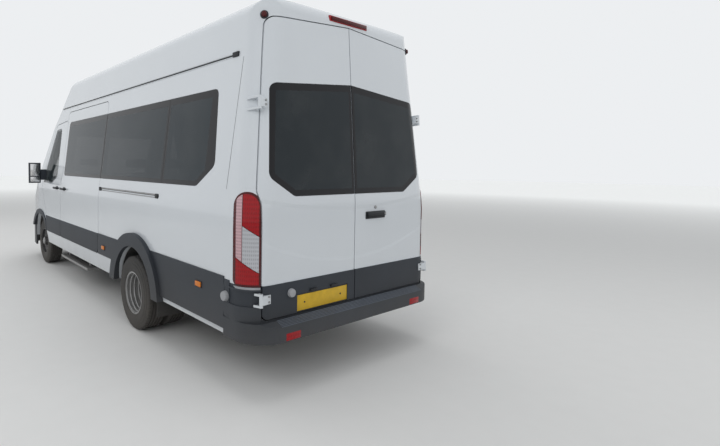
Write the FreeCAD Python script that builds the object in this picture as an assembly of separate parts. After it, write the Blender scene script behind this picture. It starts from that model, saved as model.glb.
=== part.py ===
import FreeCAD, Part
import math
import os

# A long, high-roofed minibus with twin rear wheels, in millimetres.
# X runs forward, Y to the left (the kerb side, with the sliding door), Z up from the ground.
# The origin is on the ground, halfway along the length and width.

V = FreeCAD.Vector

# Overall size
length = 6704
height = 2774
wheelbase = 3750
rear_overhang = 1931
mirror_half = 1237

front_end = length / 2
rear_end = -length / 2
rear_axle_x = rear_end + rear_overhang
front_axle_x = rear_axle_x + wheelbase
beyond = 4000

# Body section: half widths and heights of its corners
skin_half = 1021.5
tuck_z = 572
tuck_slope = 0.106
waist_z = 1202
waist_radius = 1500
gutter_half = 880
gutter_z = height - 424
roof_half = 842
roof_side_z = height - 48
roof_side_radius = 110
wall = 45

# Body profile
tail_x = rear_end + 80
tail_lean_z = 1300
tail_top_x = rear_end + 187
roof_front_x = front_axle_x - 1149
header_x, header_z = front_axle_x - 289, height - 674
scuttle_x, scuttle_z = front_axle_x + 406, 1305
cowl_lip = 6
bonnet_front_x, bonnet_front_z = front_end - 127, 1020
nose_x, nose_z = front_end - 34, 480
corner_radius = 180
nose_half = 925
nose_corner_x = front_end - 182
nose_corner_radius = 240
bow = 2560
brow = 8
scuttle_step = 10
bonnet_line = ((bonnet_front_x, bonnet_front_z - scuttle_step), (scuttle_x, scuttle_z - scuttle_step))
screen_line = ((scuttle_x, scuttle_z), (header_x, header_z))
forehead_line = ((header_x + brow, header_z), (roof_front_x + brow, height))
bows = (
    # panel, ends of its middle line, lowest z, highest z, how far back it reaches behind the line
    ("bonnet", bonnet_line, 700, scuttle_z, 235),
    ("windscreen", screen_line, scuttle_z, header_z, 540),
    ("forehead", forehead_line, header_z, height, 280),
)

# Lower edges and cladding
sill_z = 395
cladding_low = 572
cladding_high = 800
cladding = 8
rear_cladding_high = 779
arch_out = 41.5
front_arch_out = 12
front_moulding_radius = 515
side_reach = 1300
door_inset = 600
rear_reach = rear_end + 352
bumper_low = 235
bumper_top = 640
bumper_rear_x = front_axle_x + 461
intake_half = 420
intake_low, intake_high = 330, 470
step_z = 531
cover_x = rear_end + 367
cover_z = 754
lamp_out_x = rear_end + 267
lamp_half = 102
lamp_low, lamp_high = 771, 1405
plate_recess = (84, 604, 549.5, 680)
nose_rear_x = front_axle_x + 601

# Gaps between panels, round moving pieces and round glass
gap = 8
glass = 5
glass_seam = 2
glass_rest = 24
running = 0.3

# Wheels
wheel_radius = 349.5
tyre_width = 195
rim_radius = 203
front_wheel_y = 866
rear_outer_y = 942
twin_pitch = 225
front_arch_radius = 445
rear_arch_radius = 449
arch_moulding_radius = 575
wheel_holes = 8

# Doors, as side or rear outlines
door_rear_x = front_axle_x - 1164
door_low = cladding_low
front_door_low_x = front_axle_x - 399
front_door_high_x = front_axle_x - 139
front_door_shoulder_z = 1230
front_door_belt_z = 1385
front_door_head_x = front_axle_x - 594
front_door_head_z = header_z + 40
slide_door_rear_x = door_rear_x - 1550
slide_door_head_z = gutter_z - 60
rear_door_low = 548
rear_door_half = 905
rear_door_waist_half = 925
rear_door_head_half = 798
rear_door_head_z = height - 120

# Hinges
rear_hinge_low = (rear_end + 60, skin_half - 86.5, 690)
rear_hinge_high = (rear_end + 140, skin_half - 123.5, 2002)
rear_hinges = (
    # height, the arm's reach from the pin, how far forward of the pin its outer face ends
    (690, 85, 4),
    (2002, 50, -13),
)
front_hinge_x = front_axle_x - 114
front_hinge_y = skin_half - 24
front_hinge_z = 1250
front_hinge_lean = 3
knuckle_radius = 13
hinge_pin = 5
hinge_height = 60
ear_thick = 15
hinge_opening = 52
panel_clear = 5
bonnet_hinge_x = scuttle_x + 12
bonnet_hinge_z = scuttle_z - 5
bonnet_pin = 6

# Windows
window_low = 1417
window_high = gutter_z - 199
window_radius = 55
window_front_x = door_rear_x - 90
window_seam_x = rear_axle_x - 519
window_rear_x = rear_end + 572
window_rear_cut = 160
door_window_rear_x = door_rear_x + 235
door_window_dip = 105
rear_window_half = 848

# Floor and chassis
floor_top = 720
floor_thick = 40
floor_rear_x = rear_end + 137
bulkhead_x = front_axle_x - 139
bulkhead_thick = 20
rail_y = 430
rail_wide = 80
rail_high = 120
kingpin_y = 730
rail_rear_x = rear_end + 202
rail_front_x = front_axle_x + 671
cross_width = 80
crossmembers = (rail_rear_x + 50,) + tuple(rear_axle_x + ahead for ahead in (-879, 621, 1621, 2621))
exhaust_straps = (rear_axle_x - 1179, rear_axle_x + 1121, front_axle_x - 829)
strut_top = 770
engine_rear_x = front_axle_x - 69
liner_thick = 15
liner_y = 552
liner_side = 12
spring_y = 520
spring_reach = 700
spring_rise = 135
spring_thick = 32
spring_wide = 70
jack_pad = 20
jack_pads = (rear_axle_x - 1079, front_axle_x - 429)
tow_x = rear_end + 327
tow_long = 50
tow_wide = 700
tow_hole = 6.5

# Seats
seat_base_z = 1020
cab_seat_base_z = 955
cab_seat_x = front_axle_x - 999
cab_seats = (
    # middle y, width
    (-470, 500),
    (395, 840),
)
row_first_x = rear_axle_x + 1681
row_pitch = 740
row_seat_wide = 430
row_places = (-690, -240, 650)
wheel_point = (front_axle_x - 479, -470, 1320)
wheel_lean = 35


def rounded(place, corners):
    """A closed outline; each corner is (a, b) or (a, b, radius)."""
    points = [place(c[0], c[1]) for c in corners]
    radii = [c[2] if len(c) > 2 else 0 for c in corners]
    ends, arcs = [], []
    for i, here in enumerate(points):
        back = (points[i - 1] - here).normalize()
        onward = (points[(i + 1) % len(points)] - here).normalize()
        if radii[i] == 0:
            ends.append((here, here))
            arcs.append(None)
            continue
        half = back.getAngle(onward) / 2
        cut = radii[i] / math.tan(half)
        inward = (back + onward).normalize()
        middle = here + inward * (radii[i] / math.sin(half) - radii[i])
        ends.append((here + back * cut, here + onward * cut))
        arcs.append(Part.Arc(ends[i][0], middle, ends[i][1]).toShape())
    edges = []
    for i in range(len(points)):
        if arcs[i]:
            edges.append(arcs[i])
        start, stop = ends[i][1], ends[(i + 1) % len(points)][0]
        if start.distanceToPoint(stop) > 0.001:
            edges.append(Part.LineSegment(start, stop).toShape())
    return Part.Wire(edges)


def grown(wire, size):
    """The face inside an outline moved out by size, or in when it is negative."""
    face = Part.Face(wire)
    return face if size == 0 else face.makeOffset2D(size, 2)


def along_x(corners, low, high, grow=0):
    face = grown(rounded(lambda y, z: V(low, y, z), corners), grow)
    return face.extrude(V(high - low, 0, 0))


def along_y(corners, low, high, grow=0):
    face = grown(rounded(lambda x, z: V(x, low, z), corners), grow)
    return face.extrude(V(0, high - low, 0))


def along_z(corners, low, high, grow=0):
    face = grown(rounded(lambda x, y: V(x, y, low), corners), grow)
    return face.extrude(V(0, 0, high - low))


def block(x0, x1, y0, y1, z0, z1):
    return Part.makeBox(x1 - x0, y1 - y0, z1 - z0, V(x0, y0, z0))


def slab(x0, x1, z0, z1):
    """A block across the whole width."""
    return block(x0, x1, -side_reach, side_reach, z0, z1)


def rod(start, stop, radius):
    start, stop = V(*start), V(*stop)
    return Part.makeCylinder(radius, (stop - start).Length, start, stop - start)


def turned(corners, x, y):
    """A ring turned about a line along Y: corners are (distance along Y from y, radius, rounding)."""
    wire = rounded(lambda a, r: V(x, y + a, wheel_radius + r), corners)
    return Part.Face(wire).revolve(V(x, y, wheel_radius), V(0, 1, 0), 360)


def mirrored(shape):
    return shape.mirror(V(0, 0, 0), V(0, 1, 0))


def both(shape):
    return joined([shape, mirrored(shape)])


def joined(shapes):
    return shapes[0].fuse(shapes[1:]).removeSplitter() if len(shapes) > 1 else shapes[0]


def parts_of(shape):
    return shape.Solids


def biggest(shape):
    return max(shape.Solids, key=lambda solid: solid.Volume)


def mirror_corners(half):
    """The other half of a section given as (y, z, radius) from bottom to top."""
    return half + [(-c[0],) + tuple(c[1:]) for c in reversed(half)]


def bowed(half, rise, fullness=0.95):
    """How far above its edges the sides of a bowed line would meet, and the radius that rounds them."""
    return 2 * rise * (1 - math.sqrt(1 - fullness)) / fullness, fullness * half ** 2 / (2 * rise)


below = -300
crown_rise, crown_radius = bowed(roof_half, height - roof_side_z)
nose_rise, nose_radius = bowed(nose_half, nose_x - nose_corner_x)
section_half = [
    (skin_half - (tuck_z - below) * tuck_slope, below),
    (skin_half, tuck_z),
    (skin_half, waist_z, waist_radius),
    (gutter_half, gutter_z),
    (roof_half, roof_side_z, roof_side_radius),
]
tail_creases = (below, tuck_z, waist_z, tail_lean_z, gutter_z, roof_side_z)
section = mirror_corners(section_half)
section.insert(len(section_half), (0, roof_side_z + crown_rise, crown_radius))
profile = [
    (tail_x, below),
    (tail_x, tail_lean_z, 1500),
    (tail_top_x, height, 110),
    (roof_front_x + brow, height, 500),
    (header_x + brow, header_z),
    (header_x, header_z),
    (scuttle_x, scuttle_z),
    (bonnet_front_x, bonnet_front_z, 90),
    (nose_x + 12, nose_z),
    (nose_x + 12, below),
]


def nose_outline(ahead, wider):
    """The body from above, its nose moved ahead and widened by the given sizes."""
    return [
        (-3500, 1200),
        (1800, 1100),
        (nose_corner_x + ahead, nose_half + wider, nose_corner_radius),
        (nose_corner_x + ahead + nose_rise, 0, nose_radius),
        (nose_corner_x + ahead, -nose_half - wider, nose_corner_radius),
        (1800, -1100),
        (-3500, -1200),
    ]


nose_plan = nose_outline(0, 0)


def bow_cut(inset, line, low_z, high_z, reach):
    """What lies in front of a panel bowed across its middle line; every level cut has the same bow."""
    low, high = (V(x, 0, z) for x, z in line)
    run = (high - low).normalize()
    out = V(run.z, 0, -run.x)
    radius = bow / run.z
    start = low - out * radius - run * 3000
    barrel = Part.makeCylinder(radius - inset, 8000, start, run)
    return slab(high.x - reach, beyond, low_z, high_z).cut(barrel)


def along(line, z):
    """The place at height z on a line of (place, height) corners."""
    for (a, low), (b, high) in zip(line, line[1:]):
        if z <= high:
            return a + (b - a) * (z - low) / (high - low)


def tail_corner_cuts(inset):
    """What lies outside the rounded upright corners at the tail, in lengths between the body's creases."""
    side_line = [(c[0], c[1]) for c in section_half]
    tail_line = [(c[0], c[1]) for c in profile[:3]]
    radius = corner_radius - inset
    cuts = []
    for low, high in zip(tail_creases, tail_creases[1:]):
        here = V(along(tail_line, low) + inset, along(side_line, low) - inset, low)
        there = V(along(tail_line, high) + inset, along(side_line, high) - inset, high)
        if high == roof_side_z:
            there += (there - here) * ((height - high) / (high - low))
        bulge = radius * (1 - math.sqrt(0.5))
        edge = [here + V(0, -radius, 0), here + V(bulge, -bulge, 0), here + V(radius, 0, 0)]
        rim = [edge[2], here + V(radius, 30, 0), here + V(-30, 30, 0), here + V(-30, -radius, 0), edge[0]]
        lines = [Part.LineSegment(a, b).toShape() for a, b in zip(rim, rim[1:])]
        cut = Part.Face(Part.Wire([Part.Arc(*edge).toShape()] + lines)).extrude(there - here)
        cuts += [cut, mirrored(cut)]
    return cuts


def body_space(inset):
    """The space inside the body's outer surface, moved in by inset."""
    space = along_x(section, -3600, 3600, -inset)
    space = space.common(along_y(profile, -1400, 1400, -inset))
    space = space.common(along_z(nose_plan, below, 3000, -inset))
    for _, *sizes in bows:
        space = space.cut(bow_cut(inset, *sizes))
    return biggest(space.cut(tail_corner_cuts(inset)))


outer = body_space(0)
inner = body_space(wall)
shell = outer.cut(inner)
skin = outer.cut(body_space(glass))
proud = body_space(-cladding).cut(outer)
lining = body_space(wall + gap)

# Openings in the body, each an outline as the panel that fills it
front_door = [
    (door_rear_x + gap / 2, door_low, 30),
    (front_door_low_x, door_low, 30),
    (front_door_low_x + 40, 850, 200),
    (front_door_high_x, front_door_shoulder_z, 200),
    (front_door_high_x, front_door_belt_z, 60),
    (front_door_head_x, front_door_head_z, 110),
    (door_rear_x + gap / 2, front_door_head_z + 40, 60),
]
slide_door = [
    (slide_door_rear_x, door_low, 60),
    (door_rear_x - gap / 2, door_low, 30),
    (door_rear_x - gap / 2, slide_door_head_z, 60),
    (slide_door_rear_x, slide_door_head_z, 60),
]
rear_door = [
    (gap / 2, rear_door_low),
    (rear_door_half, rear_door_low, 40),
    (rear_door_half, 1330, 100),
    (rear_door_waist_half, 1410, 100),
    (rear_door_head_half, rear_door_head_z - 58, 70),
    (gap / 2, rear_door_head_z),
]
seam = [(-3500, below), (-3120, below), (-2850, gutter_z), (-3500, gutter_z)]
bonnet_plan = [
    (scuttle_x + 12, -760),
    (scuttle_x + 12, 760),
    (3080, 740, 120),
    (3400, 710),
    (3400, -710),
    (3080, -740, 120),
]
bonnet_low = 985
headlamp_front = [(452, 690, 20), (880, 690, 60), (935, 1015, 40), (560, 955, 40), (452, 900, 20)]
grille_front = [(-444, 660, 30), (444, 660, 30), (444, 955, 40), (-444, 955, 40)]
grille_slots = (685, 735, 785, 835, 885)
slot_half = 415
slot_high = 34
slide_rail = [
    (window_seam_x + 20, 1284, 15),
    (slide_door_rear_x, 1284),
    (slide_door_rear_x, 1322),
    (window_seam_x + 20, 1322, 15),
]

# Window outlines
front_door_window = [
    (door_window_rear_x, window_low - 20, 90),
    (door_window_rear_x + 250, window_low - 20 - door_window_dip, 120),
    (front_door_high_x - 75, window_low - 20 - door_window_dip, 45),
    (front_door_high_x - 68, front_door_belt_z + 10, 60),
    (front_door_head_x - 35, front_door_head_z - 65, window_radius),
    (door_window_rear_x + 40, front_door_head_z - 52, window_radius),
]
tail_window = [
    (window_seam_x, window_low),
    (window_rear_x + 240, window_low, 90),
    (window_rear_x, window_low + window_rear_cut, 70),
    (window_rear_x + 60, window_high, window_radius),
    (window_seam_x, window_high),
]
windscreen_front = [(835, scuttle_z + 30, 80), (740, header_z - 40, 90)]
windscreen_front = mirror_corners(windscreen_front)
rear_door_window = [
    (gap / 2 - 1, window_low - 50),
    (625, window_low - 50, 70),
    (rear_window_half, window_low + 85, 70),
    (rear_window_half - 42, window_high - 8, 60),
    (gap / 2 - 1, window_high + 62),
]


def side_outlines(sign):
    """The side windows from front to rear; on the left the first one is in the sliding door."""
    middle = slide_door_rear_x - gap / 2
    apart = gap / 2 - 1 if sign > 0 else 0
    first = [
        (middle + apart, window_low),
        (window_front_x, window_low, window_radius),
        (window_front_x, window_high, window_radius),
        (middle + apart, window_high),
    ]
    second = [
        (window_seam_x, window_low),
        (middle - apart, window_low),
        (middle - apart, window_high),
        (window_seam_x, window_high),
    ]
    return [first, second, tail_window]


def glazed(panel, outline, push, low, high):
    """A panel with a rebated opening, and the glass that lies in the rebate."""
    pocket = push(outline, low, high).common(skin)
    pane = push(outline, low, high, -glass_seam).common(skin)
    hole = push(outline, low, high, -glass_rest)
    return panel.cut(pocket).cut(hole), pane


def side_span(sign, near, far):
    return sorted((sign * near, sign * far))


def side_of(shape, sign):
    return shape.common(block(-beyond, beyond, *side_span(sign, 0, side_reach), -500, 3000))


def through_side(outline, sign, grow=0):
    """What an outline seen from the side takes out of one side wall."""
    return along_y(outline, *side_span(sign, door_inset, side_reach), grow)


def through_tail(outline, grow=0):
    return along_x(outline, -beyond, rear_reach, grow)


def arch(x, radius, low=500, high=1200):
    return both(rod((x, low, wheel_radius), (x, high, wheel_radius), radius))


arches = arch(front_axle_x, front_arch_radius).fuse(arch(rear_axle_x, rear_arch_radius))
rear_openings = both(through_tail(rear_door, gap))
door_split = block(-beyond, rear_reach, -gap, gap, rear_door_low - gap, rear_door_head_z + gap)
rear_openings = rear_openings.fuse(door_split)
left_openings = through_side(front_door, 1, gap).fuse(through_side(slide_door, 1, gap))
right_openings = through_side(front_door, -1, gap)
nose_block = slab(bumper_rear_x, beyond, below, bumper_top)
hinge_heights = (front_hinge_z - 22, front_hinge_z + 22)
hinge_room = both(block(front_hinge_x - 100, front_hinge_x + 14, 930, front_hinge_y + 8, *hinge_heights))


parts = {}


def make_sides():
    lower = shell.common(slab(-beyond, beyond, sill_z, gutter_z)).cut(arches)
    lower = lower.cut(nose_block).cut(rear_openings)
    quarter = along_y(seam, -side_reach, side_reach)
    tail = lower.common(quarter)
    rest = lower.cut(quarter)
    ahead = slab(front_door_head_x - 40, beyond, scuttle_z + cowl_lip, gutter_z)
    wing = slab(front_door_low_x - 60, beyond, below, scuttle_z + cowl_lip)
    middle = rest.cut(ahead).cut(wing)
    for name, sign, openings in (("left", 1, left_openings), ("right", -1, right_openings)):
        panel = side_of(middle, sign).cut(openings)
        panel = joined([biggest(panel), b_pillar(sign)])
        panes = []
        for outline in side_outlines(sign)[1 if sign > 0 else 0:]:
            panel, pane = glazed(panel, outline, along_y, *side_span(sign, door_inset, side_reach))
            panes.append(pane)
        if sign > 0:
            panel = panel.cut(through_side(slide_rail, sign).common(skin))
        parts["side_panel_" + name] = biggest(panel)
        parts.setdefault("side_windows", []).extend(panes)
    door = side_of(shell, 1).common(through_side(slide_door, 1))
    door, pane = glazed(door, side_outlines(1)[0], along_y, door_inset, side_reach)
    parts["sliding_door"] = biggest(door).fuse(door_band(slide_door, 1)).removeSplitter()
    parts["side_windows"].append(pane)
    front = rest.common(ahead).cut(left_openings).cut(right_openings)
    front, pane = glazed(front, windscreen_front, along_x, 1500, 3400)
    parts["front_frame"] = biggest(front)
    parts["windscreen"] = pane
    return tail, rest.common(wing).cut(left_openings).cut(right_openings)


def b_pillar(sign):
    """The post behind the front door's rear edge, from the floor up to the rail over the doors."""
    plan = (door_rear_x - 75, door_rear_x + 65, *side_span(sign, door_inset, side_reach))
    deep = body_space(wall + 70)
    post = lining.cut(deep).common(block(*plan, floor_top, slide_door_head_z + 10))
    cap = inner.cut(deep).common(block(*plan, slide_door_head_z + gap, slide_door_head_z + 40))
    return joined([post, cap])


def door_band(outline, sign):
    """The dark band proud of a door's lower half."""
    span = side_span(sign, skin_half - 10, skin_half + cladding)
    return along_y(outline, *span).common(block(-beyond, beyond, *span, door_low, cladding_high))


def make_front_doors():
    for name, sign in (("left", 1), ("right", -1)):
        door = side_of(shell, sign).common(through_side(front_door, sign))
        door, pane = glazed(door, front_door_window, along_y, *side_span(sign, door_inset, side_reach))
        door = biggest(door).fuse(door_band(front_door, sign))
        door = biggest(door.cut(arch(front_axle_x, front_arch_radius + gap)))
        arm = front_hinge_arm()
        parts["front_door_" + name] = joined([door, arm if sign > 0 else mirrored(arm)])
        parts["front_door_glass_" + name] = pane
        parts["mirror_" + name] = make_mirror(sign)


def on_front_hinge(shape):
    """A piece made about the Z axis at the origin, moved onto the left door's hinge line."""
    turn = FreeCAD.Rotation(V(1, 0, 0), front_hinge_lean)
    shape.Placement = FreeCAD.Placement(V(front_hinge_x, front_hinge_y, front_hinge_z), turn)
    return shape


def front_hinge_arm():
    """The left door's eye and the bent arm that carries it, behind the wing."""
    arm = [(6, 0), (6, -45), (-95, -45), (-95, -20), (-55, -20), (-55, -33), (-6, -33), (-6, 0)]
    eye = Part.makeCylinder(11, 28, V(0, 0, -14))
    bore = Part.makeCylinder(hinge_pin + running, 40, V(0, 0, -20))
    return on_front_hinge(along_z(arm, -14, 14).fuse(eye).cut(bore))


def hinged_wing(wing, sign):
    """A wing with room for the door's arm, and the pin it turns on."""
    room = on_front_hinge(Part.makeCylinder(14, 32, V(0, 0, -16)))
    pin = on_front_hinge(Part.makeCylinder(hinge_pin, 68, V(0, 0, -34)))
    if sign < 0:
        room, pin = mirrored(room), mirrored(pin)
    return joined([biggest(wing.cut(hinge_room).cut(room)), pin])


def make_mirror(sign):
    rear_x = front_axle_x - 294
    plan = [
        (rear_x, 1070, 25),
        (rear_x, mirror_half, 30),
        (rear_x + 75, mirror_half, 60),
        (rear_x + 130, 1070, 40),
    ]
    foot = [
        (rear_x + 15, 1330, 20),
        (rear_x + 120, 1330, 20),
        (rear_x + 95, 1490, 20),
        (rear_x + 25, 1490, 20),
    ]
    shape = joined([along_z(plan, 1285, 1590), along_y(foot, 940, 1085).cut(outer)])
    return shape if sign > 0 else mirrored(shape)


def make_front(nose):
    bonnet_block = along_z(bonnet_plan, bonnet_low, 1400)
    bonnet_hole = along_z(bonnet_plan, bonnet_low - gap, 1400, gap)
    lamps = both(along_x(headlamp_front, nose_rear_x, beyond))
    grille_block = along_x(grille_front, nose_rear_x, beyond)
    slots = [block(nose_rear_x, beyond, -slot_half, slot_half, z, z + slot_high) for z in grille_slots]
    full = nose.cut(lamps).cut(grille_block)
    lid = shell.common(bonnet_block).common(slab(scuttle_x, beyond, bonnet_low, scuttle_z))
    eye = bonnet_eye(20, 60 - running, V(bonnet_hinge_x, 0, bonnet_hinge_z - 30))
    parts["bonnet"] = joined([biggest(lid), both(eye)])
    panels = full.cut(bonnet_hole)
    for name, sign in (("left", 1), ("right", -1)):
        wing = hinged_wing(side_of(panels, sign), sign)
        eye = bonnet_eye(60, 90, V(bonnet_hinge_x - 20, 0, bonnet_hinge_z))
        parts["front_wing_" + name] = joined([wing, eye if sign > 0 else mirrored(eye)])
    parts["headlamps"] = parts_of(nose.common(lamps))
    parts["grille"] = parts_of(nose.common(grille_block).cut(slots))
    ahead = front_end - along_z(nose_plan, 0, 10).optimalBoundingBox().XMax
    hoop = along_z(nose_outline(ahead, 10), bumper_low, bumper_top)
    hoop = hoop.cut(along_z(nose_plan, bumper_low - 1, bumper_top + 1, -18))
    hoop = hoop.common(slab(bumper_rear_x, beyond, bumper_low, bumper_top))
    intake = block(nose_rear_x, beyond, -intake_half, intake_half, intake_low, intake_high)
    parts["front_bumper"] = biggest(hoop.cut(arch(front_axle_x, front_arch_radius)).cut(intake))


def bonnet_eye(near, far, foot):
    """A short barrel on the bonnet's hinge line, and the web that joins it to its foot."""
    barrel = rod((bonnet_hinge_x, near, bonnet_hinge_z), (bonnet_hinge_x, far, bonnet_hinge_z), bonnet_pin)
    low_x, high_x = sorted((foot.x, bonnet_hinge_x))
    low_z, high_z = sorted((foot.z, bonnet_hinge_z))
    thick = bonnet_pin / 2
    web = block(low_x - thick, high_x + thick, near, far, low_z - thick, high_z + thick)
    return joined([barrel, web])


def lamp_block():
    """The upright tail lamp's outline, pushed through the rounded corner along its diagonal."""
    run, out = V(1, 1, 0).normalize(), V(-1, 1, 0).normalize()
    corner = V(tail_x + corner_radius, skin_half - corner_radius, 0)
    outline = [
        (-lamp_half, lamp_low, 15),
        (lamp_half, lamp_low, 40),
        (lamp_half, lamp_high, 100),
        (-lamp_half, lamp_high, 100),
    ]
    shift = (lamp_out_x + skin_half + tail_x + 12 + rear_door_half) / 2 / math.sqrt(2) - corner.dot(run)
    wire = rounded(lambda a, z: corner + run * (a + shift) + out * 20 + V(0, 0, z), outline)
    return Part.Face(wire).extrude(out * 300)


def make_rear(tail):
    lamps = both(lamp_block())
    parts["tail_lamps"] = parts_of(tail.common(lamps))
    frame = tail.cut(lamps)
    for name, sign in (("left", 1), ("right", -1)):
        door = shell.common(through_tail(rear_door))
        door, pane = glazed(door, rear_door_window, along_x, -beyond, rear_reach)
        band = proud.common(through_tail(rear_door)).common(
            block(-beyond, rear_reach, 0, side_reach, rear_door_low, rear_cladding_high))
        if sign > 0:
            band = band.cut(block(-beyond, rear_reach, *plate_recess))
        door = joined([biggest(door), band] + [hinge_arm(*hinge) for hinge in rear_hinges])
        ears = [hinge_ears(hinge[0]) for hinge in rear_hinges]
        if sign < 0:
            door, pane = mirrored(door), mirrored(pane)
            ears = [mirrored(ear) for ear in ears]
        parts["rear_door_" + name] = door
        parts["rear_door_glass_" + name] = pane
        frame = frame.fuse(ears)
    parts["rear_frame"] = frame.removeSplitter()
    parts["rear_bumper"] = rear_bumper()


def hinge_point(z):
    low, high = V(*rear_hinge_low), V(*rear_hinge_high)
    return low + (high - low) * ((z - low.z) / (high.z - low.z))


def on_hinge(shape, z):
    """A piece made about the Z axis at the origin, moved onto the rear door's hinge line at height z."""
    run = (V(*rear_hinge_high) - V(*rear_hinge_low)).normalize()
    shape.Placement = FreeCAD.Placement(hinge_point(z), FreeCAD.Rotation(V(0, 0, 1), run))
    return shape


def hinge_arm(z, reach, end):
    """The door's hinge arm, from the door's outer face to its knuckle."""
    half = hinge_height / 2
    outline = [
        (-knuckle_radius, 0),
        (end, -reach),
        (60, -reach),
        (60, -40),
        (knuckle_radius, -14),
        (knuckle_radius, 0),
    ]
    clear = body_space(-panel_clear).cut(through_tail(rear_door))
    plate = on_hinge(along_z(outline, -half, half), z).cut(clear).cut(inner)
    eye = on_hinge(Part.makeCylinder(knuckle_radius, 2 * half, V(0, 0, -half)), z)
    bore = on_hinge(Part.makeCylinder(hinge_pin + running, 3 * half, V(0, 0, -1.5 * half)), z)
    return joined([biggest(plate), eye]).cut(bore)


def hinge_ears(z):
    """The body's two hinge ears, above and below the door's arm, and the pin between them."""
    outline = [(-12, -6), (60, -14), (115, -8), (115, 28), (60, 24), (0, knuckle_radius)]
    ears = []
    for side in (-1, 1):
        near = side * (hinge_height / 2 + running)
        low, high = sorted((near, near + side * ear_thick))
        barrel = Part.makeCylinder(knuckle_radius, high - low, V(0, 0, low))
        ears.append(on_hinge(along_z(outline, low, high).fuse(barrel), z).cut(inner))
    reach = hinge_height / 2 + ear_thick
    pin = on_hinge(Part.makeCylinder(hinge_pin, 2 * reach, V(0, 0, -reach)), z)
    return joined(ears + [pin])


def rear_bumper():
    """The step across the tail and the corner covers that rise from it to the lamps."""
    sides = [
        (rear_end, -1010, 240),
        (rear_end, 1010, 240),
        (cover_x, skin_half + cladding),
        (cover_x, -skin_half - cladding),
    ]
    edge = [
        (-beyond, step_z - 30),
        (rear_end, step_z - 30),
        (tail_x - 20, step_z),
        (tail_x - 20, beyond),
        (-beyond, beyond),
    ]
    step = along_z(sides, sill_z, step_z).cut(along_y(edge, -side_reach, side_reach)).cut(outer)
    corner = block(-beyond, cover_x, rear_door_half + gap, side_reach, step_z - 40, cover_z)
    hinge_z = rear_hinges[0][0]
    opening = (hinge_z - hinge_opening, hinge_z + hinge_opening)
    opening = block(-beyond, rear_reach, rear_door_half, side_reach, *opening)
    cover = proud.common(both(corner)).cut(both(opening))
    return biggest(step.fuse(cover).removeSplitter())


def make_roof():
    top = shell.common(slab(-beyond, beyond, gutter_z, height + 10)).cut(rear_openings)
    parts["roof_panel"] = biggest(top)


def make_cladding():
    pieces = []
    hub = (rear_axle_x, skin_half - 60, wheel_radius)
    ring = rod(hub, (rear_axle_x, skin_half + arch_out, wheel_radius), arch_moulding_radius)
    ring = ring.common(block(-3000, 3000, 0, side_reach, sill_z, cladding_high + 130))
    tail_band = block(cover_x, rear_axle_x, 950, skin_half + cladding, 444, cladding_high + 10)
    hole = rod((rear_axle_x, 500, wheel_radius), (rear_axle_x, 1200, wheel_radius), rear_arch_radius)
    front_hub = (front_axle_x, 900, wheel_radius)
    rim = rod(front_hub, (front_axle_x, skin_half + front_arch_out, wheel_radius), front_moulding_radius)
    rim = rim.cut(rod(front_hub, (front_axle_x, side_reach, wheel_radius), front_arch_radius)).cut(outer)
    rim = rim.common(block(front_door_low_x, beyond, 0, side_reach, door_low, 1000)).cut(nose_block)
    rim = biggest(rim.cut(along_y(front_door, door_inset, side_reach, gap)))
    for sign, front_x in ((1, slide_door_rear_x - gap), (-1, door_rear_x - gap / 2)):
        band = (rear_axle_x, front_x, skin_half - 60, skin_half + cladding)
        shape = joined([ring, block(*band, cladding_low, cladding_high), tail_band]).cut(hole).cut(outer)
        pieces.append(biggest(shape if sign > 0 else mirrored(shape)))
        pieces.append(rim if sign > 0 else mirrored(rim))
    parts["lower_cladding"] = pieces
    side_step = [block(slide_door_rear_x + 421, door_rear_x + 2, 850, 1012, 290, 320)]
    for x in (slide_door_rear_x + 535, door_rear_x - 155):
        side_step.append(block(x, x + 40, 850, 940, 319, floor_top - floor_thick))
    parts["side_step"] = joined(side_step)


def wheel_box(grow):
    """The raised box over both rear wheels, or the space in it when grow is 0."""
    ends = [(rear_axle_x, y - grow, wheel_radius) for y in (605, 1200)]
    return both(rod(*ends, rear_arch_radius + grow))


def make_floor():
    low = floor_top - floor_thick
    plate = inner.common(slab(floor_rear_x, bulkhead_x, low, floor_top))
    doorways = both(along_y(front_door, door_inset, side_reach, gap).common(outer.cut(lining)))
    front_space = arch(front_axle_x, front_arch_radius + liner_thick, liner_y - liner_side)
    bulkhead = slab(bulkhead_x, bulkhead_x + bulkhead_thick, low, scuttle_z - 20)
    bulkhead = inner.common(bulkhead).cut(hinge_room)
    boxes = wheel_box(liner_thick).common(inner).common(slab(-3000, 3000, low, 1000))
    floor = joined([plate, boxes, bulkhead]).cut(wheel_box(0)).cut(doorways).cut(front_space)
    parts["floor_pan"] = biggest(floor)
    liner = front_space.cut(arch(front_axle_x, front_arch_radius, liner_y))
    liner = liner.common(inner).common(slab(1500, 3300, 480, 1000))
    seat_z = strut_top + running
    tower = rod((front_axle_x, kingpin_y, seat_z), (front_axle_x, kingpin_y, strut_top + 30), 60)
    tower = both(tower).common(arch(front_axle_x, front_arch_radius + 5, liner_y))
    parts["front_arches"] = parts_of(joined([liner, tower]))


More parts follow.
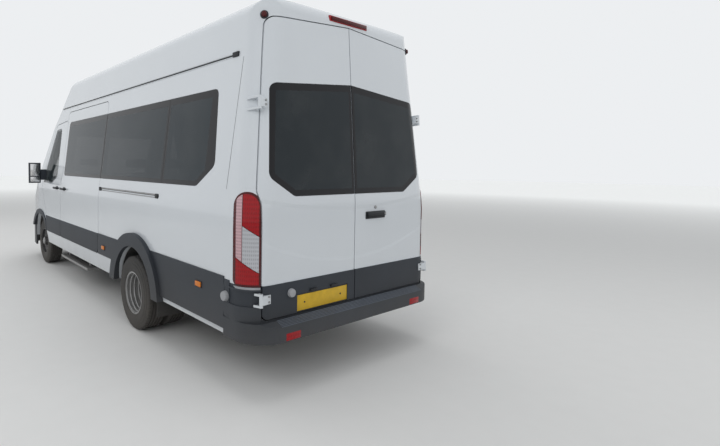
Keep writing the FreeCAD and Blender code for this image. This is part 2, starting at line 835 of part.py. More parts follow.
def make_chassis():
    top = floor_top - floor_thick
    low = top - rail_high
    half = rail_wide / 2
    rails = both(block(rail_rear_x, rail_front_x, rail_y - half, rail_y + half, low, top))
    crosses = []
    for x in crossmembers:
        crosses.append(block(x - cross_width / 2, x + cross_width / 2, -rail_y, rail_y, low + 20, top - 20))
    cradle = (front_axle_x + 111, front_axle_x + 311)
    hangers = both(block(*cradle, rail_y - 40, rail_y - 10, 440, low + 5))
    pads = []
    for x in jack_pads:
        pads.append(both(block(x - 45, x + 45, rail_y - 35, rail_y + 35, low - jack_pad, low + 1)))
    plate = block(rail_rear_x + 10, tow_x + 45, -rail_y - 40, rail_y + 40, low - 12, low)
    bolts = []
    for x in (tow_x - tow_long / 2, tow_x + tow_long / 2):
        bolts.append(both(rod((x, tow_wide / 2, low - 20), (x, tow_wide / 2, low + 10), tow_hole)))
    cradle = block(*cradle, -rail_y, rail_y, 440, 470)
    frame = joined([rails, cradle, hangers, plate] + crosses + pads).cut(bolts)
    parts["chassis_frame"] = frame
    parts["engine_block"] = block(engine_rear_x, engine_rear_x + 640, -270, 270, 470, 1040)
    tank = [(480, 430, 60), (830, 430, 60), (830, top - running, 30), (480, top - running, 30)]
    parts["fuel_tank"] = along_x(tank, rear_axle_x + 1481, rear_axle_x + 2381)
    pipe_y, pipe_z = -250, 500
    engine_face = engine_rear_x - running
    pipe = rod((engine_face, pipe_y, pipe_z), (rail_rear_x, pipe_y, pipe_z), 28)
    muffler = rod((rear_axle_x + 1721, pipe_y, pipe_z), (rear_axle_x + 2471, pipe_y, pipe_z), 85)
    straps = [block(x - 15, x + 15, -rail_y, pipe_y, pipe_z + 5, low + 40) for x in exhaust_straps]
    parts["exhaust"] = joined([pipe, muffler] + straps).cut(frame)


def make_axles():
    hub_z = wheel_radius
    beam = rod((rear_axle_x, -600, hub_z), (rear_axle_x, 600, hub_z), 55)
    stubs = rod((rear_axle_x, -700, hub_z), (rear_axle_x, 700, hub_z), 40)
    ball = Part.makeSphere(150, V(rear_axle_x, 0, hub_z + 20))
    gearbox = (front_axle_x - 29, 0, 520)
    shaft = rod((rear_axle_x, 0, hub_z + 20), gearbox, 40)
    shaft = shaft.cut(block(engine_rear_x - 1, beyond, -300, 300, 300, 900))
    low = hub_z + 52
    ends = []
    for lift in (0, spring_thick):
        xz = [(rear_axle_x + s * spring_reach, low + abs(s) * spring_rise + lift) for s in (-1, 0, 1)]
        ends.append([V(x, spring_y - spring_wide / 2, z) for x, z in xz])
    arcs = [Part.Arc(*end).toShape() for end in ends]
    tips = [Part.LineSegment(ends[0][i], ends[1][i]).toShape() for i in (2, 0)]
    leaf = Part.Face(Part.Wire([arcs[0], tips[0], arcs[1], tips[1]])).extrude(V(0, spring_wide, 0))
    shackles = []
    for x in (rear_axle_x - spring_reach + 20, rear_axle_x + spring_reach - 20):
        y = rail_y + rail_wide / 2
        far_y = spring_y + spring_wide / 2
        shackles.append(block(x - 20, x + 20, y, far_y, low + spring_rise + 5, 640))
    springs = both(joined([leaf] + shackles))
    parts["rear_axle"] = joined([beam, stubs, ball, springs, shaft]).cut(parts["chassis_frame"])
    across = (front_axle_x - 90, front_axle_x + 90)
    cross = block(*across, -470, 470, 290, 380)
    posts = both(block(*across, 400, 460, 380, 560))
    plan = [
        (across[0], 460),
        (across[1], 460),
        (front_axle_x + 45, kingpin_y + 30, 20),
        (front_axle_x - 45, kingpin_y + 30, 20),
    ]
    arms = both(along_z(plan, 215, 240 - running).fuse(block(*across, 440, 470, 215, 300)))
    parts["front_crossmember"] = joined([cross, posts, arms])


def hand_holes(x, y, depth, ring, radius):
    """The ring of holes through a wheel's disc."""
    holes = []
    for i in range(wheel_holes):
        angle = 2 * math.pi * (i + 0.5) / wheel_holes
        a, b = ring * math.cos(angle), ring * math.sin(angle)
        holes.append(rod((x + a, y, wheel_radius + b), (x + a, y + depth, wheel_radius + b), radius))
    return holes


def make_wheels():
    half = tyre_width / 2
    tyre = [
        (-half, rim_radius, 0),
        (half, rim_radius, 0),
        (half + 6, 270, 60),
        (half - 12, wheel_radius, 28),
        (-half + 12, wheel_radius, 28),
        (-half - 6, 270, 60),
    ]
    rim_in = rim_radius - 14
    barrel = [(-half + 4, rim_in), (half - 4, rim_in), (half - 4, rim_radius), (-half + 4, rim_radius)]
    ledge = [(-half - 36, rim_in), (-half + 6, rim_in), (-half + 6, rim_in + 10), (-half - 36, rim_in + 10)]
    disc = [
        (30, 40),
        (46, 40),
        (46, 120, 8),
        (62, 160, 10),
        (62, rim_radius - 10),
        (46, rim_radius - 10),
        (46, 165, 10),
        (30, 125, 8),
    ]
    dish = [
        (-130, 55),
        (-112, 55),
        (-112, 130, 8),
        (-60, 160, 12),
        (-60, rim_radius - 10),
        (-76, rim_radius - 10),
        (-76, 172, 12),
        (-130, 140, 8),
    ]
    hub = [(-40, 32 + running), (95, 32 + running), (95, 62), (40, 70), (-40, 70)]
    boss = [(-335, 40 + running), (-110, 40 + running), (-110, 75), (-335, 75)]
    centre = (front_axle_x, front_wheel_y)
    outer_twin = (rear_axle_x, rear_outer_y)
    inner_twin = (rear_axle_x, rear_outer_y - twin_pitch)

    def on_axle(axle, near, far, radius):
        x, y = axle
        return rod((x, y + near, wheel_radius), (x, y + far, wheel_radius), radius)

    rings = [turned(ring, *centre) for ring in (barrel, disc, hub)]
    rim = joined(rings + [on_axle(centre, 90, 98, 55)]).cut(hand_holes(*centre, 80, 103, 14))
    knuckle = [on_axle(centre, kingpin_y - front_wheel_y, 88, 32), on_axle(centre, -86, -61, 140)]
    for low, high, radius in ((240, 500, 28), (500, strut_top, 24)):
        knuckle.append(rod((front_axle_x, kingpin_y, low), (front_axle_x, kingpin_y, high), radius))
    twin = joined([
        turned(barrel, *outer_twin),
        turned(barrel, *inner_twin),
        turned(ledge, *outer_twin),
        turned(dish, *outer_twin),
        turned(boss, *outer_twin),
        on_axle(outer_twin, -112, -30, 62),
    ])
    twin = twin.cut(hand_holes(rear_axle_x, rear_outer_y - 135, 90, 148, 19))
    tyres = [turned(tyre, *outer_twin), turned(tyre, *inner_twin)]
    pieces = (
        ("front_tyre", turned(tyre, *centre)),
        ("front_rim", rim),
        ("front_knuckle", joined(knuckle)),
        ("rear_rims", twin),
    )
    for piece, shape in pieces:
        parts[piece + "_left"] = shape
        parts[piece + "_right"] = mirrored(shape)
    parts["rear_tyres_left"] = tyres
    parts["rear_tyres_right"] = [mirrored(tyre) for tyre in tyres]


def seat(x, y, width, base, rise):
    outline = [
        (x, base),
        (x + 470, base, 40),
        (x + 480, base + 120, 50),
        (x + 90, base + 120, 30),
        (x - 60, base + rise, 40),
        (x - 150, base + rise, 40),
        (x - 50, base, 30),
    ]
    cushion = along_y(outline, y - width / 2, y + width / 2)
    stand = block(x + 40, x + 400, y - width / 2 + 60, y + width / 2 - 60, floor_top, base + 10)
    return joined([cushion, stand])


def make_cabin():
    parts["front_seats"] = [seat(cab_seat_x, y, wide, cab_seat_base_z, 700) for y, wide in cab_seats]
    rows = []
    for i in range(5):
        x = row_first_x - i * row_pitch
        places = row_places[:2] if i == 0 else row_places
        rows += [seat(x, y, row_seat_wide, seat_base_z, 620) for y in places]
    parts["passenger_seats"] = [row.cut(wheel_box(liner_thick)) for row in rows]
    dash = [
        (bulkhead_x - 170, 940, 60),
        (bulkhead_x, 900),
        (bulkhead_x, 1270),
        (bulkhead_x - 110, 1270, 60),
        (bulkhead_x - 200, 1120, 60),
    ]
    centre = V(*wheel_point)
    lean = math.radians(wheel_lean)
    axis = V(-math.sin(lean), 0, math.cos(lean))
    ring = Part.makeTorus(195, 14, centre, axis)
    hub = Part.makeCylinder(60, 30, centre - axis * 30, axis)
    spokes = [Part.makeCylinder(10, 190, centre - axis * 12, spoke) for spoke in spoke_lines(axis)]
    parts["steering_wheel"] = joined([ring, hub] + spokes)
    column = Part.makeCylinder(30, 320, centre - axis * (30 + running), axis * -1)
    column = column.common(block(bulkhead_x - 690, bulkhead_x, -600, -300, 900, 1400))
    parts["dashboard"] = joined([along_y(dash, -880, 880), column])


def spoke_lines(axis):
    first = V(0, 1, 0)
    return [FreeCAD.Rotation(axis, angle).multVec(first) for angle in (0, 180, 270)]


def main():
    tail, nose = make_sides()
    make_front_doors()
    make_front(nose)
    make_rear(tail)
    make_roof()
    make_cladding()
    make_chassis()
    make_floor()
    make_axles()
    make_wheels()
    make_cabin()
    os.makedirs("parts", exist_ok=True)
    for node, shape in parts.items():
        solids = shape if isinstance(shape, list) else shape.Solids
        solids = [s for item in solids for s in item.Solids]
        whole = solids[0] if len(solids) == 1 else Part.makeCompound(solids)
        box = whole.BoundBox
        ends = [round(end) for end in (box.XMin, box.XMax, box.YMin, box.YMax, box.ZMin, box.ZMax)]
        print(f"{node:24s} {len(solids)} {whole.isValid()} {whole.Volume / 1e9:.4f}", *ends)
        whole.exportStep(f"parts/{node}.step")


main()
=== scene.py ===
import math

import bmesh
import bpy
from bpy.props import FloatProperty, FloatVectorProperty, IntProperty, PointerProperty
from mathutils import Matrix, Vector
from mathutils.bvhtree import BVHTree


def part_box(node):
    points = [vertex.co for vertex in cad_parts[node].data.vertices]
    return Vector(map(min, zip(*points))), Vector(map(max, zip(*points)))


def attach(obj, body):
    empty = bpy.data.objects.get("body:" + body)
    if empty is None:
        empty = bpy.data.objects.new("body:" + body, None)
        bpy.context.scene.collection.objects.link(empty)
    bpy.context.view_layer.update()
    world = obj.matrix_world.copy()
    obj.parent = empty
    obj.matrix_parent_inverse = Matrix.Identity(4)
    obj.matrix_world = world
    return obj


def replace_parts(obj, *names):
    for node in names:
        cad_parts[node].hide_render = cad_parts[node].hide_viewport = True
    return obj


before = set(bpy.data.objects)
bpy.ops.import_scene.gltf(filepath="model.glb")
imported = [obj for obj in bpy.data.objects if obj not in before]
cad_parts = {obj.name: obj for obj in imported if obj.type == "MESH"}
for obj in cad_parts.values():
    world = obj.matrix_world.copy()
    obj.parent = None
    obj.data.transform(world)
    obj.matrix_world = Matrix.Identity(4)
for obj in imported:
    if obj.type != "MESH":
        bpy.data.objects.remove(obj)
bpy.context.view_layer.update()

bl_info = {
    "name": "Minibus Finish",
    "version": (1, 0, 0),
    "blender": (4, 5, 0),
    "location": "View3D > Sidebar > Minibus",
    "description": "Gives a long twin-wheeled minibus its paint, glass, lamps, tyres, seats and trim",
    "category": "Object",
}

SIDES = (("left", 1), ("right", -1))
FORWARD = Vector((1, 0, 0))
UP = Vector((0, 0, 1))

# Heights and lengths of the body that the finishes share, in metres
DOOR_BAND_TOP = 0.800
REAR_BAND_TOP = 0.779
WAIST = 1.202
SKIN_HALF = 1.0215
SIDE_SLOPE = 0.1233
TAIL_X = -3.272
TAIL_LEAN_Z = 1.300
TAIL_SLOPE = 0.0726
ROOF = 2.774
LINING_DEPTH = 0.038
CORNER = 0.180
WINDOW_LOW, WINDOW_HIGH = 1.417, 2.151
WINDOW_SEAMS = (-0.389, -1.940)
WINDOW_FRONT, WINDOW_REAR = 1.075, -2.780
FLOOR = 0.720
ROOF_CROWN = 0.068

# How far outside the bus a line starts that looks for its skin
FAR = 5

# The slope over the windscreen: a place on it, the way it faces, and its crown
FOREHEAD_X, FOREHEAD_Z = 2.048, 2.100
FOREHEAD_FACING = (0.617, 0.787)
FOREHEAD_CROWN = 0.12

# The upper and lower line pressed across the rear doors: bow, and the heights that its step lies between
CREASES = ((0.10, 1.250, 1.276), (0.23, 0.858, 0.884))
CREASE_HALF, CREASE_DEPTH = 0.905, 1.6

# The lower rear hinges: their heights, and how far they stand out of the rounded corner
HINGE_LOW, HINGE_HIGH, HINGE_PROUD = 0.640, 0.742, 0.0095

# Rear panes and windscreen: edges, how those lean or arch, and the width of the black print round them
PRINT = 0.045
PANE_LOW, PANE_TOP, PANE_HALF = 1.367, 2.160, 0.901
PANE_ARCH, PANE_LEAN = 0.087, 0.0655
SCREEN_LOW, SCREEN_TOP, SCREEN_HALF = 1.375, 2.020, 0.845
SCREEN_FOOT, SCREEN_LEAN = 1.335, 0.13

# Colours that no setting changes
GLASS_DIRT = (0.20, 0.20, 0.19, 1)
PRINT_BLACK = (0.006, 0.006, 0.008, 1)
DRY_RUBBER = (0.040, 0.039, 0.037, 1)
RUST = (0.16, 0.055, 0.02, 1)

# How fine the woven cloth is, in radians a metre
THREADS = 2400


def colour(name, value, note):
    return FloatVectorProperty(name=name, description=note, subtype="COLOR", size=4, min=0, max=1,
                               default=(*value, 1))


class BusColours(bpy.types.PropertyGroup):
    """The colours of the minibus."""

    body: colour("Body", (0.66, 0.695, 0.73), "White body paint")
    plastic: colour("Cladding", (0.021, 0.026, 0.034), "Dark grey bumpers and lower cladding")
    tint: colour("Side glass", (0.018, 0.029, 0.037), "Tinted glass behind the cab")
    clear: colour("Cab glass", (0.05, 0.065, 0.07), "Windscreen and front door glass")
    rubber: colour("Tyres", (0.020, 0.020, 0.022), "Tyre rubber")
    wheel: colour("Wheels", (0.46, 0.46, 0.46), "Silver wheel paint")
    cloth: colour("Seat cloth", (0.022, 0.028, 0.050), "Woven seat cloth")
    lining: colour("Lining", (0.23, 0.235, 0.24), "Grey lining inside the body")
    dust: colour("Road dust", (0.17, 0.150, 0.125), "Film of dirt on the lower body")
    red: colour("Red lens", (0.34, 0.002, 0.006), "Stop and tail lens")
    amber: colour("Amber lens", (0.72, 0.20, 0.012), "Side marker and indicator lens")
    plate: colour("Rear plate", (0.70, 0.44, 0.012), "Blank rear number plate")


class BusSizes(bpy.types.PropertyGroup):
    """Sizes of the added trim."""

    tread_depth: FloatProperty(name="Tread depth", description="Depth of the tyre grooves", default=0.008,
                               min=0, max=0.012, unit="LENGTH")
    tread_blocks: IntProperty(name="Tread blocks", description="Shoulder blocks round a tyre", default=60,
                              min=20, max=90)
    wheel_nuts: IntProperty(name="Wheel nuts", description="Nuts on each wheel", default=6, min=4, max=10)


class BusStage(bpy.types.PropertyGroup):
    """Where the camera stands and how the stage is lit."""

    eye: FloatVectorProperty(name="Camera", description="Place of the camera", subtype="TRANSLATION", size=3,
                             default=(-5.680, 2.788, 1.578))
    heading: FloatProperty(name="Heading", description="Camera heading from the bus's forward line",
                           default=math.radians(-38.51), unit="ROTATION")
    pitch: FloatProperty(name="Pitch", description="Camera tilt, down is negative",
                         default=math.radians(-2.59), unit="ROTATION")
    roll: FloatProperty(name="Roll", description="Camera roll", default=math.radians(0.58), unit="ROTATION")
    lens: FloatProperty(name="Lens", description="Focal length", default=23.3, min=10, max=100, unit="CAMERA")
    shift: FloatVectorProperty(name="Shift", description="Camera shift right and up", size=2,
                               default=(0.128, -0.050))
    lamps: FloatProperty(name="Lamps", description="Strength of every lamp", default=0.44, min=0, max=3)
    floor: colour("Floor", (0.78, 0.78, 0.77), "Plain pale floor")


class Nodes:
    """A node tree; every node is made by one method."""

    def __init__(self, tree):
        self.tree = tree

    def node(self, kind, settings=None, sockets=None):
        """A node with its settings made first, then its sockets set or linked."""
        made = self.tree.nodes.new(kind)
        for setting, value in (settings or {}).items():
            setattr(made, setting, value)
        for socket, value in (sockets or {}).items():
            self.put(made.inputs[socket], value)
        return made

    def put(self, socket, value):
        if isinstance(value, Value):
            value = value.socket
        if isinstance(value, bpy.types.NodeSocket):
            self.tree.links.new(value, socket)
        else:
            socket.default_value = value


class Value:
    """A number that varies over a surface; sums and products of it add Math nodes."""

    def __init__(self, nodes, socket):
        self.nodes = nodes
        self.socket = socket

    def math(self, operation, *terms):
        made = self.nodes.node("ShaderNodeMath", {"operation": operation}, dict(enumerate(terms)))
        return Value(self.nodes, made.outputs[0])

    def __add__(self, other):
        return self.math("ADD", self, other)

    __radd__ = __add__

    def __sub__(self, other):
        return self.math("SUBTRACT", self, other)

    def __rsub__(self, other):
        return self.math("SUBTRACT", other, self)

    def __mul__(self, other):
        return self.math("MULTIPLY", self, other)

    __rmul__ = __mul__

    def __gt__(self, other):
        return self.math("GREATER_THAN", self, other)

    def __lt__(self, other):
        return self.math("LESS_THAN", self, other)

    def __abs__(self):
        return self.math("ABSOLUTE", self)

    def largest(self, other):
        return self.math("MAXIMUM", self, other)

    def smallest(self, other):
        return self.math("MINIMUM", self, other)

    def wave(self):
        return self.math("SINE", self)

    def ramp(self, low, high):
        """0 at low, 1 at high, a straight line between."""
        made = self.nodes.node("ShaderNodeMapRange", {"clamp": True}, {0: self, 1: low, 2: high, 3: 0, 4: 1})
        return Value(self.nodes, made.outputs[0])


class Finish(Nodes):
    """One material; its surface values are set or linked by socket name."""

    def __init__(self, name, **fixed):
        self.material = bpy.data.materials.new(name)
        self.material.use_nodes = True
        super().__init__(self.material.node_tree)
        self.shader = self.tree.nodes["Principled BSDF"]
        self.surface(**fixed)
        self.place = self.node("ShaderNodeTexCoord").outputs["Object"]
        self.parts = self.node("ShaderNodeSeparateXYZ", None, {0: self.place}).outputs

    def surface(self, **values):
        for socket, value in values.items():
            self.put(self.shader.inputs[socket.replace("_", " ")], value)

    def axis(self, name):
        """The place along X, Y or Z in metres."""
        return Value(self, self.parts[name])

    def noise(self, scale, detail=3.0, roughness=0.5, stretch=None):
        place = self.place
        if stretch:
            place = self.node("ShaderNodeMapping", None, {"Vector": place, "Scale": stretch}).outputs[0]
        sockets = {"Vector": place, "Scale": scale, "Detail": detail, "Roughness": roughness}
        return Value(self, self.node("ShaderNodeTexNoise", None, sockets).outputs[0])

    def mixed(self, share, a, b):
        settings = {"data_type": "RGBA", "blend_type": "MIX"}
        return self.node("ShaderNodeMix", settings, {0: share, 6: a, 7: b}).outputs[2]

    def bumped(self, height, strength, distance):
        sockets = {"Strength": strength, "Distance": distance, "Height": height}
        return self.node("ShaderNodeBump", None, sockets).outputs[0]


def shaded(tone, share):
    """A colour made darker, or lighter where the share is over 1."""
    return [min(1, part * share) for part in tone[:3]] + [1]


def dust_share(finish, top, amount):
    """How much road dust lies on a surface: heavier and streakier towards the ground."""
    fall = 1 - finish.axis("Z").ramp(0.25, top)
    streaks = finish.noise(5.0, 5, 0.62, (1, 1, 0.22)).ramp(0.25, 0.80)
    specks = finish.noise(38, 4, 0.7).ramp(0.35, 0.85)
    return fall * fall * (0.35 + streaks * 0.5 + specks * 0.25) * amount


def inside_share(finish):
    """1 on the faces that look into the body, 0 on its outer skin."""
    x, y, z = finish.axis("X"), abs(finish.axis("Y")), finish.axis("Z")
    side = (z - WAIST).largest(0) * -SIDE_SLOPE + SKIN_HALF
    tail = (z - TAIL_LEAN_Z).largest(0) * TAIL_SLOPE + TAIL_X
    ahead = (x - tail - CORNER).smallest(0)
    across = (y - side + CORNER).largest(0)
    walls = (ahead * ahead + across * across) < (CORNER - LINING_DEPTH) ** 2
    roof = (ROOF - y * y * ROOF_CROWN - z) > LINING_DEPTH
    slope = (FOREHEAD_X - x) * FOREHEAD_FACING[0] + (FOREHEAD_Z - z) * FOREHEAD_FACING[1]
    forehead = (slope - y * y * FOREHEAD_CROWN) > LINING_DEPTH
    return walls * roof * forehead


def creases(finish):
    """Height of the two soft lines pressed across the rear doors, below the glass and above the band."""
    y, z = abs(finish.axis("Y")), finish.axis("Z")
    upper, lower = [(z - y * y * bow).ramp(low, high) for bow, low, high in CREASES]
    return (lower - upper) * (y < CREASE_HALF) * -CREASE_DEPTH


def make_paint(colours, name, boundary=None, lined=False, pressed=False):
    """White paint; below boundary, if there is one, the same panel is bare dark plastic."""
    finish = Finish(name, Coat_Roughness=0.05, Coat_IOR=1.5, IOR=1.45)
    tone = finish.noise(1.3, 2).ramp(0.3, 0.7)
    shade = finish.mixed(tone, shaded(colours.body, 0.97), colours.body)
    dust = dust_share(finish, 1.0, 0.5)
    shade = finish.mixed(dust, shade, colours.dust)
    peel = finish.noise(160, 2)
    rough = 0.26 + dust * 0.5
    coat = 0.8 - dust * 0.7
    height = peel * 0.03
    if boundary is not None:
        bare = (finish.axis("Z") < boundary) * (1 - proud_share(finish))
        grain = finish.noise(900, 2)
        faded = shaded(colours.plastic, 1.25)
        fade = finish.mixed(finish.noise(2.3, 4).ramp(0.35, 0.7), colours.plastic, faded)
        fade = finish.mixed(dust_share(finish, 0.9, 0.35), fade, colours.dust)
        shade = finish.mixed(bare, shade, fade)
        rough = rough + bare * 0.26
        coat = coat * (1 - bare)
        height = height * (1 - bare) + grain * bare * 0.09
    if pressed:
        height = height + creases(finish)
    if lined:
        inside = inside_share(finish)
        shade = finish.mixed(inside, shade, colours.lining)
        rough = rough + inside * 0.5
        coat = coat * (1 - inside)
    finish.surface(Base_Color=shade, Roughness=rough, Coat_Weight=coat,
                   Normal=finish.bumped(height, 1.0, 0.002))
    return finish.material


def proud_share(finish):
    """1 where a rear door's hinge stands out of the rounded corner of the body, which is painted."""
    ahead = (finish.axis("X") - (TAIL_X + CORNER)).smallest(0)
    across = (abs(finish.axis("Y")) - (SKIN_HALF - CORNER)).largest(0)
    out = ahead * ahead + across * across
    level = (finish.axis("Z") > HINGE_LOW) * (finish.axis("Z") < HINGE_HIGH)
    return (out > (CORNER + HINGE_PROUD) ** 2) * level


def make_plastic(colours, name, lift=1.0):
    """Grained moulded plastic, faded in patches."""
    finish = Finish(name, IOR=1.5)
    base = shaded(colours.plastic, lift)
    shade = finish.mixed(finish.noise(2.3, 4).ramp(0.35, 0.7), base, shaded(colours.plastic, lift * 1.3))
    dust = dust_share(finish, 0.95, 0.35)
    shade = finish.mixed(dust, shade, colours.dust)
    grain = finish.noise(700, 2)
    finish.surface(Base_Color=shade, Roughness=0.50 + dust * 0.3 + grain * 0.06,
                   Normal=finish.bumped(grain, 0.12, 0.001))
    return finish.material


def side_border(finish):
    """The black print round the side glass: its edges, its seams and its slanted rear corner."""
    x, z = finish.axis("X"), finish.axis("Z")
    edge = (z < WINDOW_LOW + 0.040).largest(z > WINDOW_HIGH - 0.060)
    edge = edge.largest(x > WINDOW_FRONT - PRINT).largest(x < WINDOW_REAR + 0.135)
    for seam in WINDOW_SEAMS:
        edge = edge.largest(abs(x - seam) < 0.030)
    slant = (x + 2.54) * 0.555 + (z - WINDOW_LOW) * 0.832
    return edge.largest(slant < PRINT)


def rear_border(finish):
    """The black print round the two rear panes, which follows their slanted corners and arched head."""
    y, z = abs(finish.axis("Y")), finish.axis("Z")
    edge = (z < PANE_LOW + PRINT).largest(z > PANE_TOP - y * PANE_ARCH)
    edge = edge.largest(y > PANE_HALF - z * PANE_LEAN).largest(y < 0.030)
    slant = (0.625 - y) * 0.518 + (z - PANE_LOW) * 0.855
    return edge.largest(slant < PRINT)


def screen_border(finish):
    """The black print round the windscreen, whose sides lean inwards."""
    y, z = abs(finish.axis("Y")), finish.axis("Z")
    side = SCREEN_HALF - (z - SCREEN_FOOT) * SCREEN_LEAN - PRINT
    return (z < SCREEN_LOW).largest(z > SCREEN_TOP).largest(y > side)


def make_glass(tone, name, alpha, border=None):
    """Tinted glass with a thin film of dirt, and a black printed border where there is one."""
    finish = Finish(name, IOR=1.45, Specular_IOR_Level=0.36)
    film = finish.noise(2.4, 5, 0.6).ramp(0.45, 0.85)
    shade = finish.mixed(film * 0.10, tone, GLASS_DIRT)
    cover = alpha + film * 0.03
    rough = 0.03 + film * 0.04
    if border:
        print_share = border(finish)
        shade = finish.mixed(print_share, shade, PRINT_BLACK)
        cover = cover.largest(print_share)
        rough = rough + print_share * 0.05
    finish.surface(Base_Color=shade, Roughness=rough, Alpha=cover)
    return finish.material


def make_rubber(colours):
    """Tyre rubber, dried out in patches and dusty towards the ground."""
    finish = Finish("tyre_rubber", IOR=1.5)
    dry = finish.noise(18, 5, 0.6).ramp(0.35, 0.75)
    shade = finish.mixed(dry, colours.rubber, DRY_RUBBER)
    dust = dust_share(finish, 1.2, 0.35)
    shade = finish.mixed(dust, shade, colours.dust)
    grain = finish.noise(420, 3)
    finish.surface(Base_Color=shade, Roughness=0.70 + dry * 0.15, Normal=finish.bumped(grain, 0.15, 0.001))
    return finish.material


def make_metal(name, tone, rough, metallic, dust_tone, dusty, rust=0.0):
    """Painted or bare metal, with dust and, where there is some, rust."""
    finish = Finish(name)
    patch = finish.noise(14, 5, 0.62)
    shade = finish.mixed(patch.ramp(0.3, 0.75), tone, shaded(tone, 0.78))
    if rust:
        spots = finish.noise(31, 6, 0.7).ramp(1 - rust, 1.12 - rust)
        shade = finish.mixed(spots, shade, RUST)
        metallic = metallic - spots * metallic
    dust = dust_share(finish, 1.3, dusty)
    shade = finish.mixed(dust, shade, dust_tone)
    finish.surface(Base_Color=shade, Roughness=rough + patch * 0.15 + dust * 0.25, Metallic=metallic,
                   Normal=finish.bumped(patch, 0.06, 0.001))
    return finish.material


def make_lens(name, tone, ribs, dark=0.5):
    """A moulded lens with fine upright ribs behind a smooth face."""
    finish = Finish(name, IOR=1.5, Specular_IOR_Level=0.3, Coat_Weight=0.2, Coat_Roughness=0.03)
    flute = ((finish.axis("X") + finish.axis("Y")) * ribs).wave() * 0.5 + 0.5
    step = (finish.axis("Z") * ribs * 0.7).wave() * 0.5 + 0.5
    shade = finish.mixed(flute * step * dark, tone, shaded(tone, 0.35))
    finish.surface(Base_Color=shade, Roughness=0.16 + flute * 0.1,
                   Normal=finish.bumped(flute + step, 0.22, 0.002))
    return finish.material


def make_cloth(colours):
    """Woven seat cloth with pale flecks."""
    finish = Finish("seat_cloth", Sheen_Weight=0.35, Sheen_Roughness=0.5)
    x, y, z = [(finish.axis(name) * THREADS).wave() for name in "XYZ"]
    weave = x * z * y
    fleck = finish.noise(240, 3).ramp(0.45, 0.7)
    shade = finish.mixed(fleck, colours.cloth, shaded(colours.cloth, 2.4))
    finish.surface(Base_Color=shade, Roughness=0.92 - fleck * 0.1, Normal=finish.bumped(weave, 0.3, 0.001))
    return finish.material


def make_all(colours):
    """Every finish, by the name the piece tables use."""
    dust = colours.dust
    return {
        "paint": make_paint(colours, "body_paint", lined=True),
        "door_paint": make_paint(colours, "door_paint", DOOR_BAND_TOP, lined=True),
        "rear_paint": make_paint(colours, "rear_paint", REAR_BAND_TOP, lined=True, pressed=True),
        "nose_paint": make_paint(colours, "nose_paint"),
        "plastic": make_plastic(colours, "grained_plastic"),
        # Lighter plastic for the step ribs: wear, and a painted highlight along the top edge of the step
        "worn_plastic": make_plastic(colours, "worn_and_highlit_step_plastic", 3.6),
        "trim": make_plastic(colours, "smooth_black_trim", 0.30),
        "tint": make_glass(colours.tint, "side_glass", 0.84, side_border),
        "rear_tint": make_glass(shaded(colours.tint, 0.6), "rear_glass", 0.955, rear_border),
        "screen": make_glass(colours.clear, "windscreen_glass", 0.32, screen_border),
        "clear": make_glass(colours.clear, "cab_glass", 0.38),
        "lamp_glass": make_glass((0.55, 0.57, 0.60, 1), "headlamp_glass", 0.22),
        "rubber": make_rubber(colours),
        "wheel": make_metal("wheel_silver", colours.wheel, 0.36, 0.75, dust, 0.25),
        "dark_wheel": make_metal("wheel_dark", (0.10, 0.10, 0.105, 1), 0.4, 0.6, dust, 0.3),
        "iron": make_metal("underbody_iron", (0.045, 0.043, 0.041, 1), 0.6, 0.5, dust, 0.5, 0.45),
        "steel": make_metal("galvanised_steel", (0.42, 0.42, 0.42, 1), 0.42, 0.9, dust, 0.35),
        "chrome": make_metal("bright_metal", (0.78, 0.78, 0.78, 1), 0.10, 1.0, dust, 0.1),
        "cup": make_metal("pale_grey_plastic", (0.38, 0.39, 0.41, 1), 0.45, 0.0, dust, 0.3),
        "underseal": make_metal("underseal", (0.030, 0.030, 0.031, 1), 0.75, 0.0, dust, 0.5),
        "red": make_lens("red_lens", colours.red, 300),
        "dark_red": make_lens("dark_red_lens", shaded(colours.red, 0.22), 300),
        "amber": make_lens("amber_lens", colours.amber, 600),
        "clear_lens": make_lens("clear_lens", (0.50, 0.51, 0.54, 1), 330, 0.6),
        "pink_lens": make_lens("ribbed_pink_lens", (0.62, 0.40, 0.43, 1), 420, 0.7),
        "cloth": make_cloth(colours),
        "plate": make_metal("plate_face", colours.plate, 0.3, 0.0, dust, 0.15),
        "pale_plate": make_metal("front_plate_face", (0.62, 0.62, 0.60, 1), 0.3, 0.0, dust, 0.15),
    }


# The materials by name, made by the first step, and the surfaces of CAD nodes, made when first asked for
FINISHES = {}
SKINS = {}

# Which CAD nodes each finish goes on
CAD_FINISHES = {
    "paint": ("roof_panel", "side_panel_left", "side_panel_right"),
    "nose_paint": ("front_frame", "front_wing_left", "front_wing_right", "bonnet"),
    "door_paint": ("sliding_door", "front_door_left", "front_door_right"),
    "rear_paint": ("rear_frame", "rear_door_left", "rear_door_right"),
    "plastic": ("front_bumper", "rear_bumper", "lower_cladding", "grille", "dashboard", "mirror_left",
                "mirror_right", "fuel_tank"),
    "tint": ("side_windows",),
    "rear_tint": ("rear_door_glass_left", "rear_door_glass_right"),
    "screen": ("windscreen",),
    "clear": ("front_door_glass_left", "front_door_glass_right"),
    "lamp_glass": ("headlamps",),
    "wheel": ("rear_rims_left", "rear_rims_right"),
    "dark_wheel": ("front_rim_left", "front_rim_right"),
    "iron": ("chassis_frame", "front_crossmember", "rear_axle", "engine_block", "front_knuckle_left",
             "front_knuckle_right"),
    "steel": ("side_step", "exhaust"),
    "underseal": ("floor_pan", "front_arches"),
    "trim": ("steering_wheel",),
}


# A slot name for each finish, where a piece's call names no other, the rest dark plastic; piece works it out
# but puts it nowhere
SLOTS = {
    "rubber": "tyre", "wheel": "wheel_steel", "steel": "bare_steel", "iron": "iron", "cloth": "cloth",
    "nose_paint": "white_paint", "red": "lamp", "dark_red": "lamp", "amber": "lamp", "clear_lens": "lamp",
}


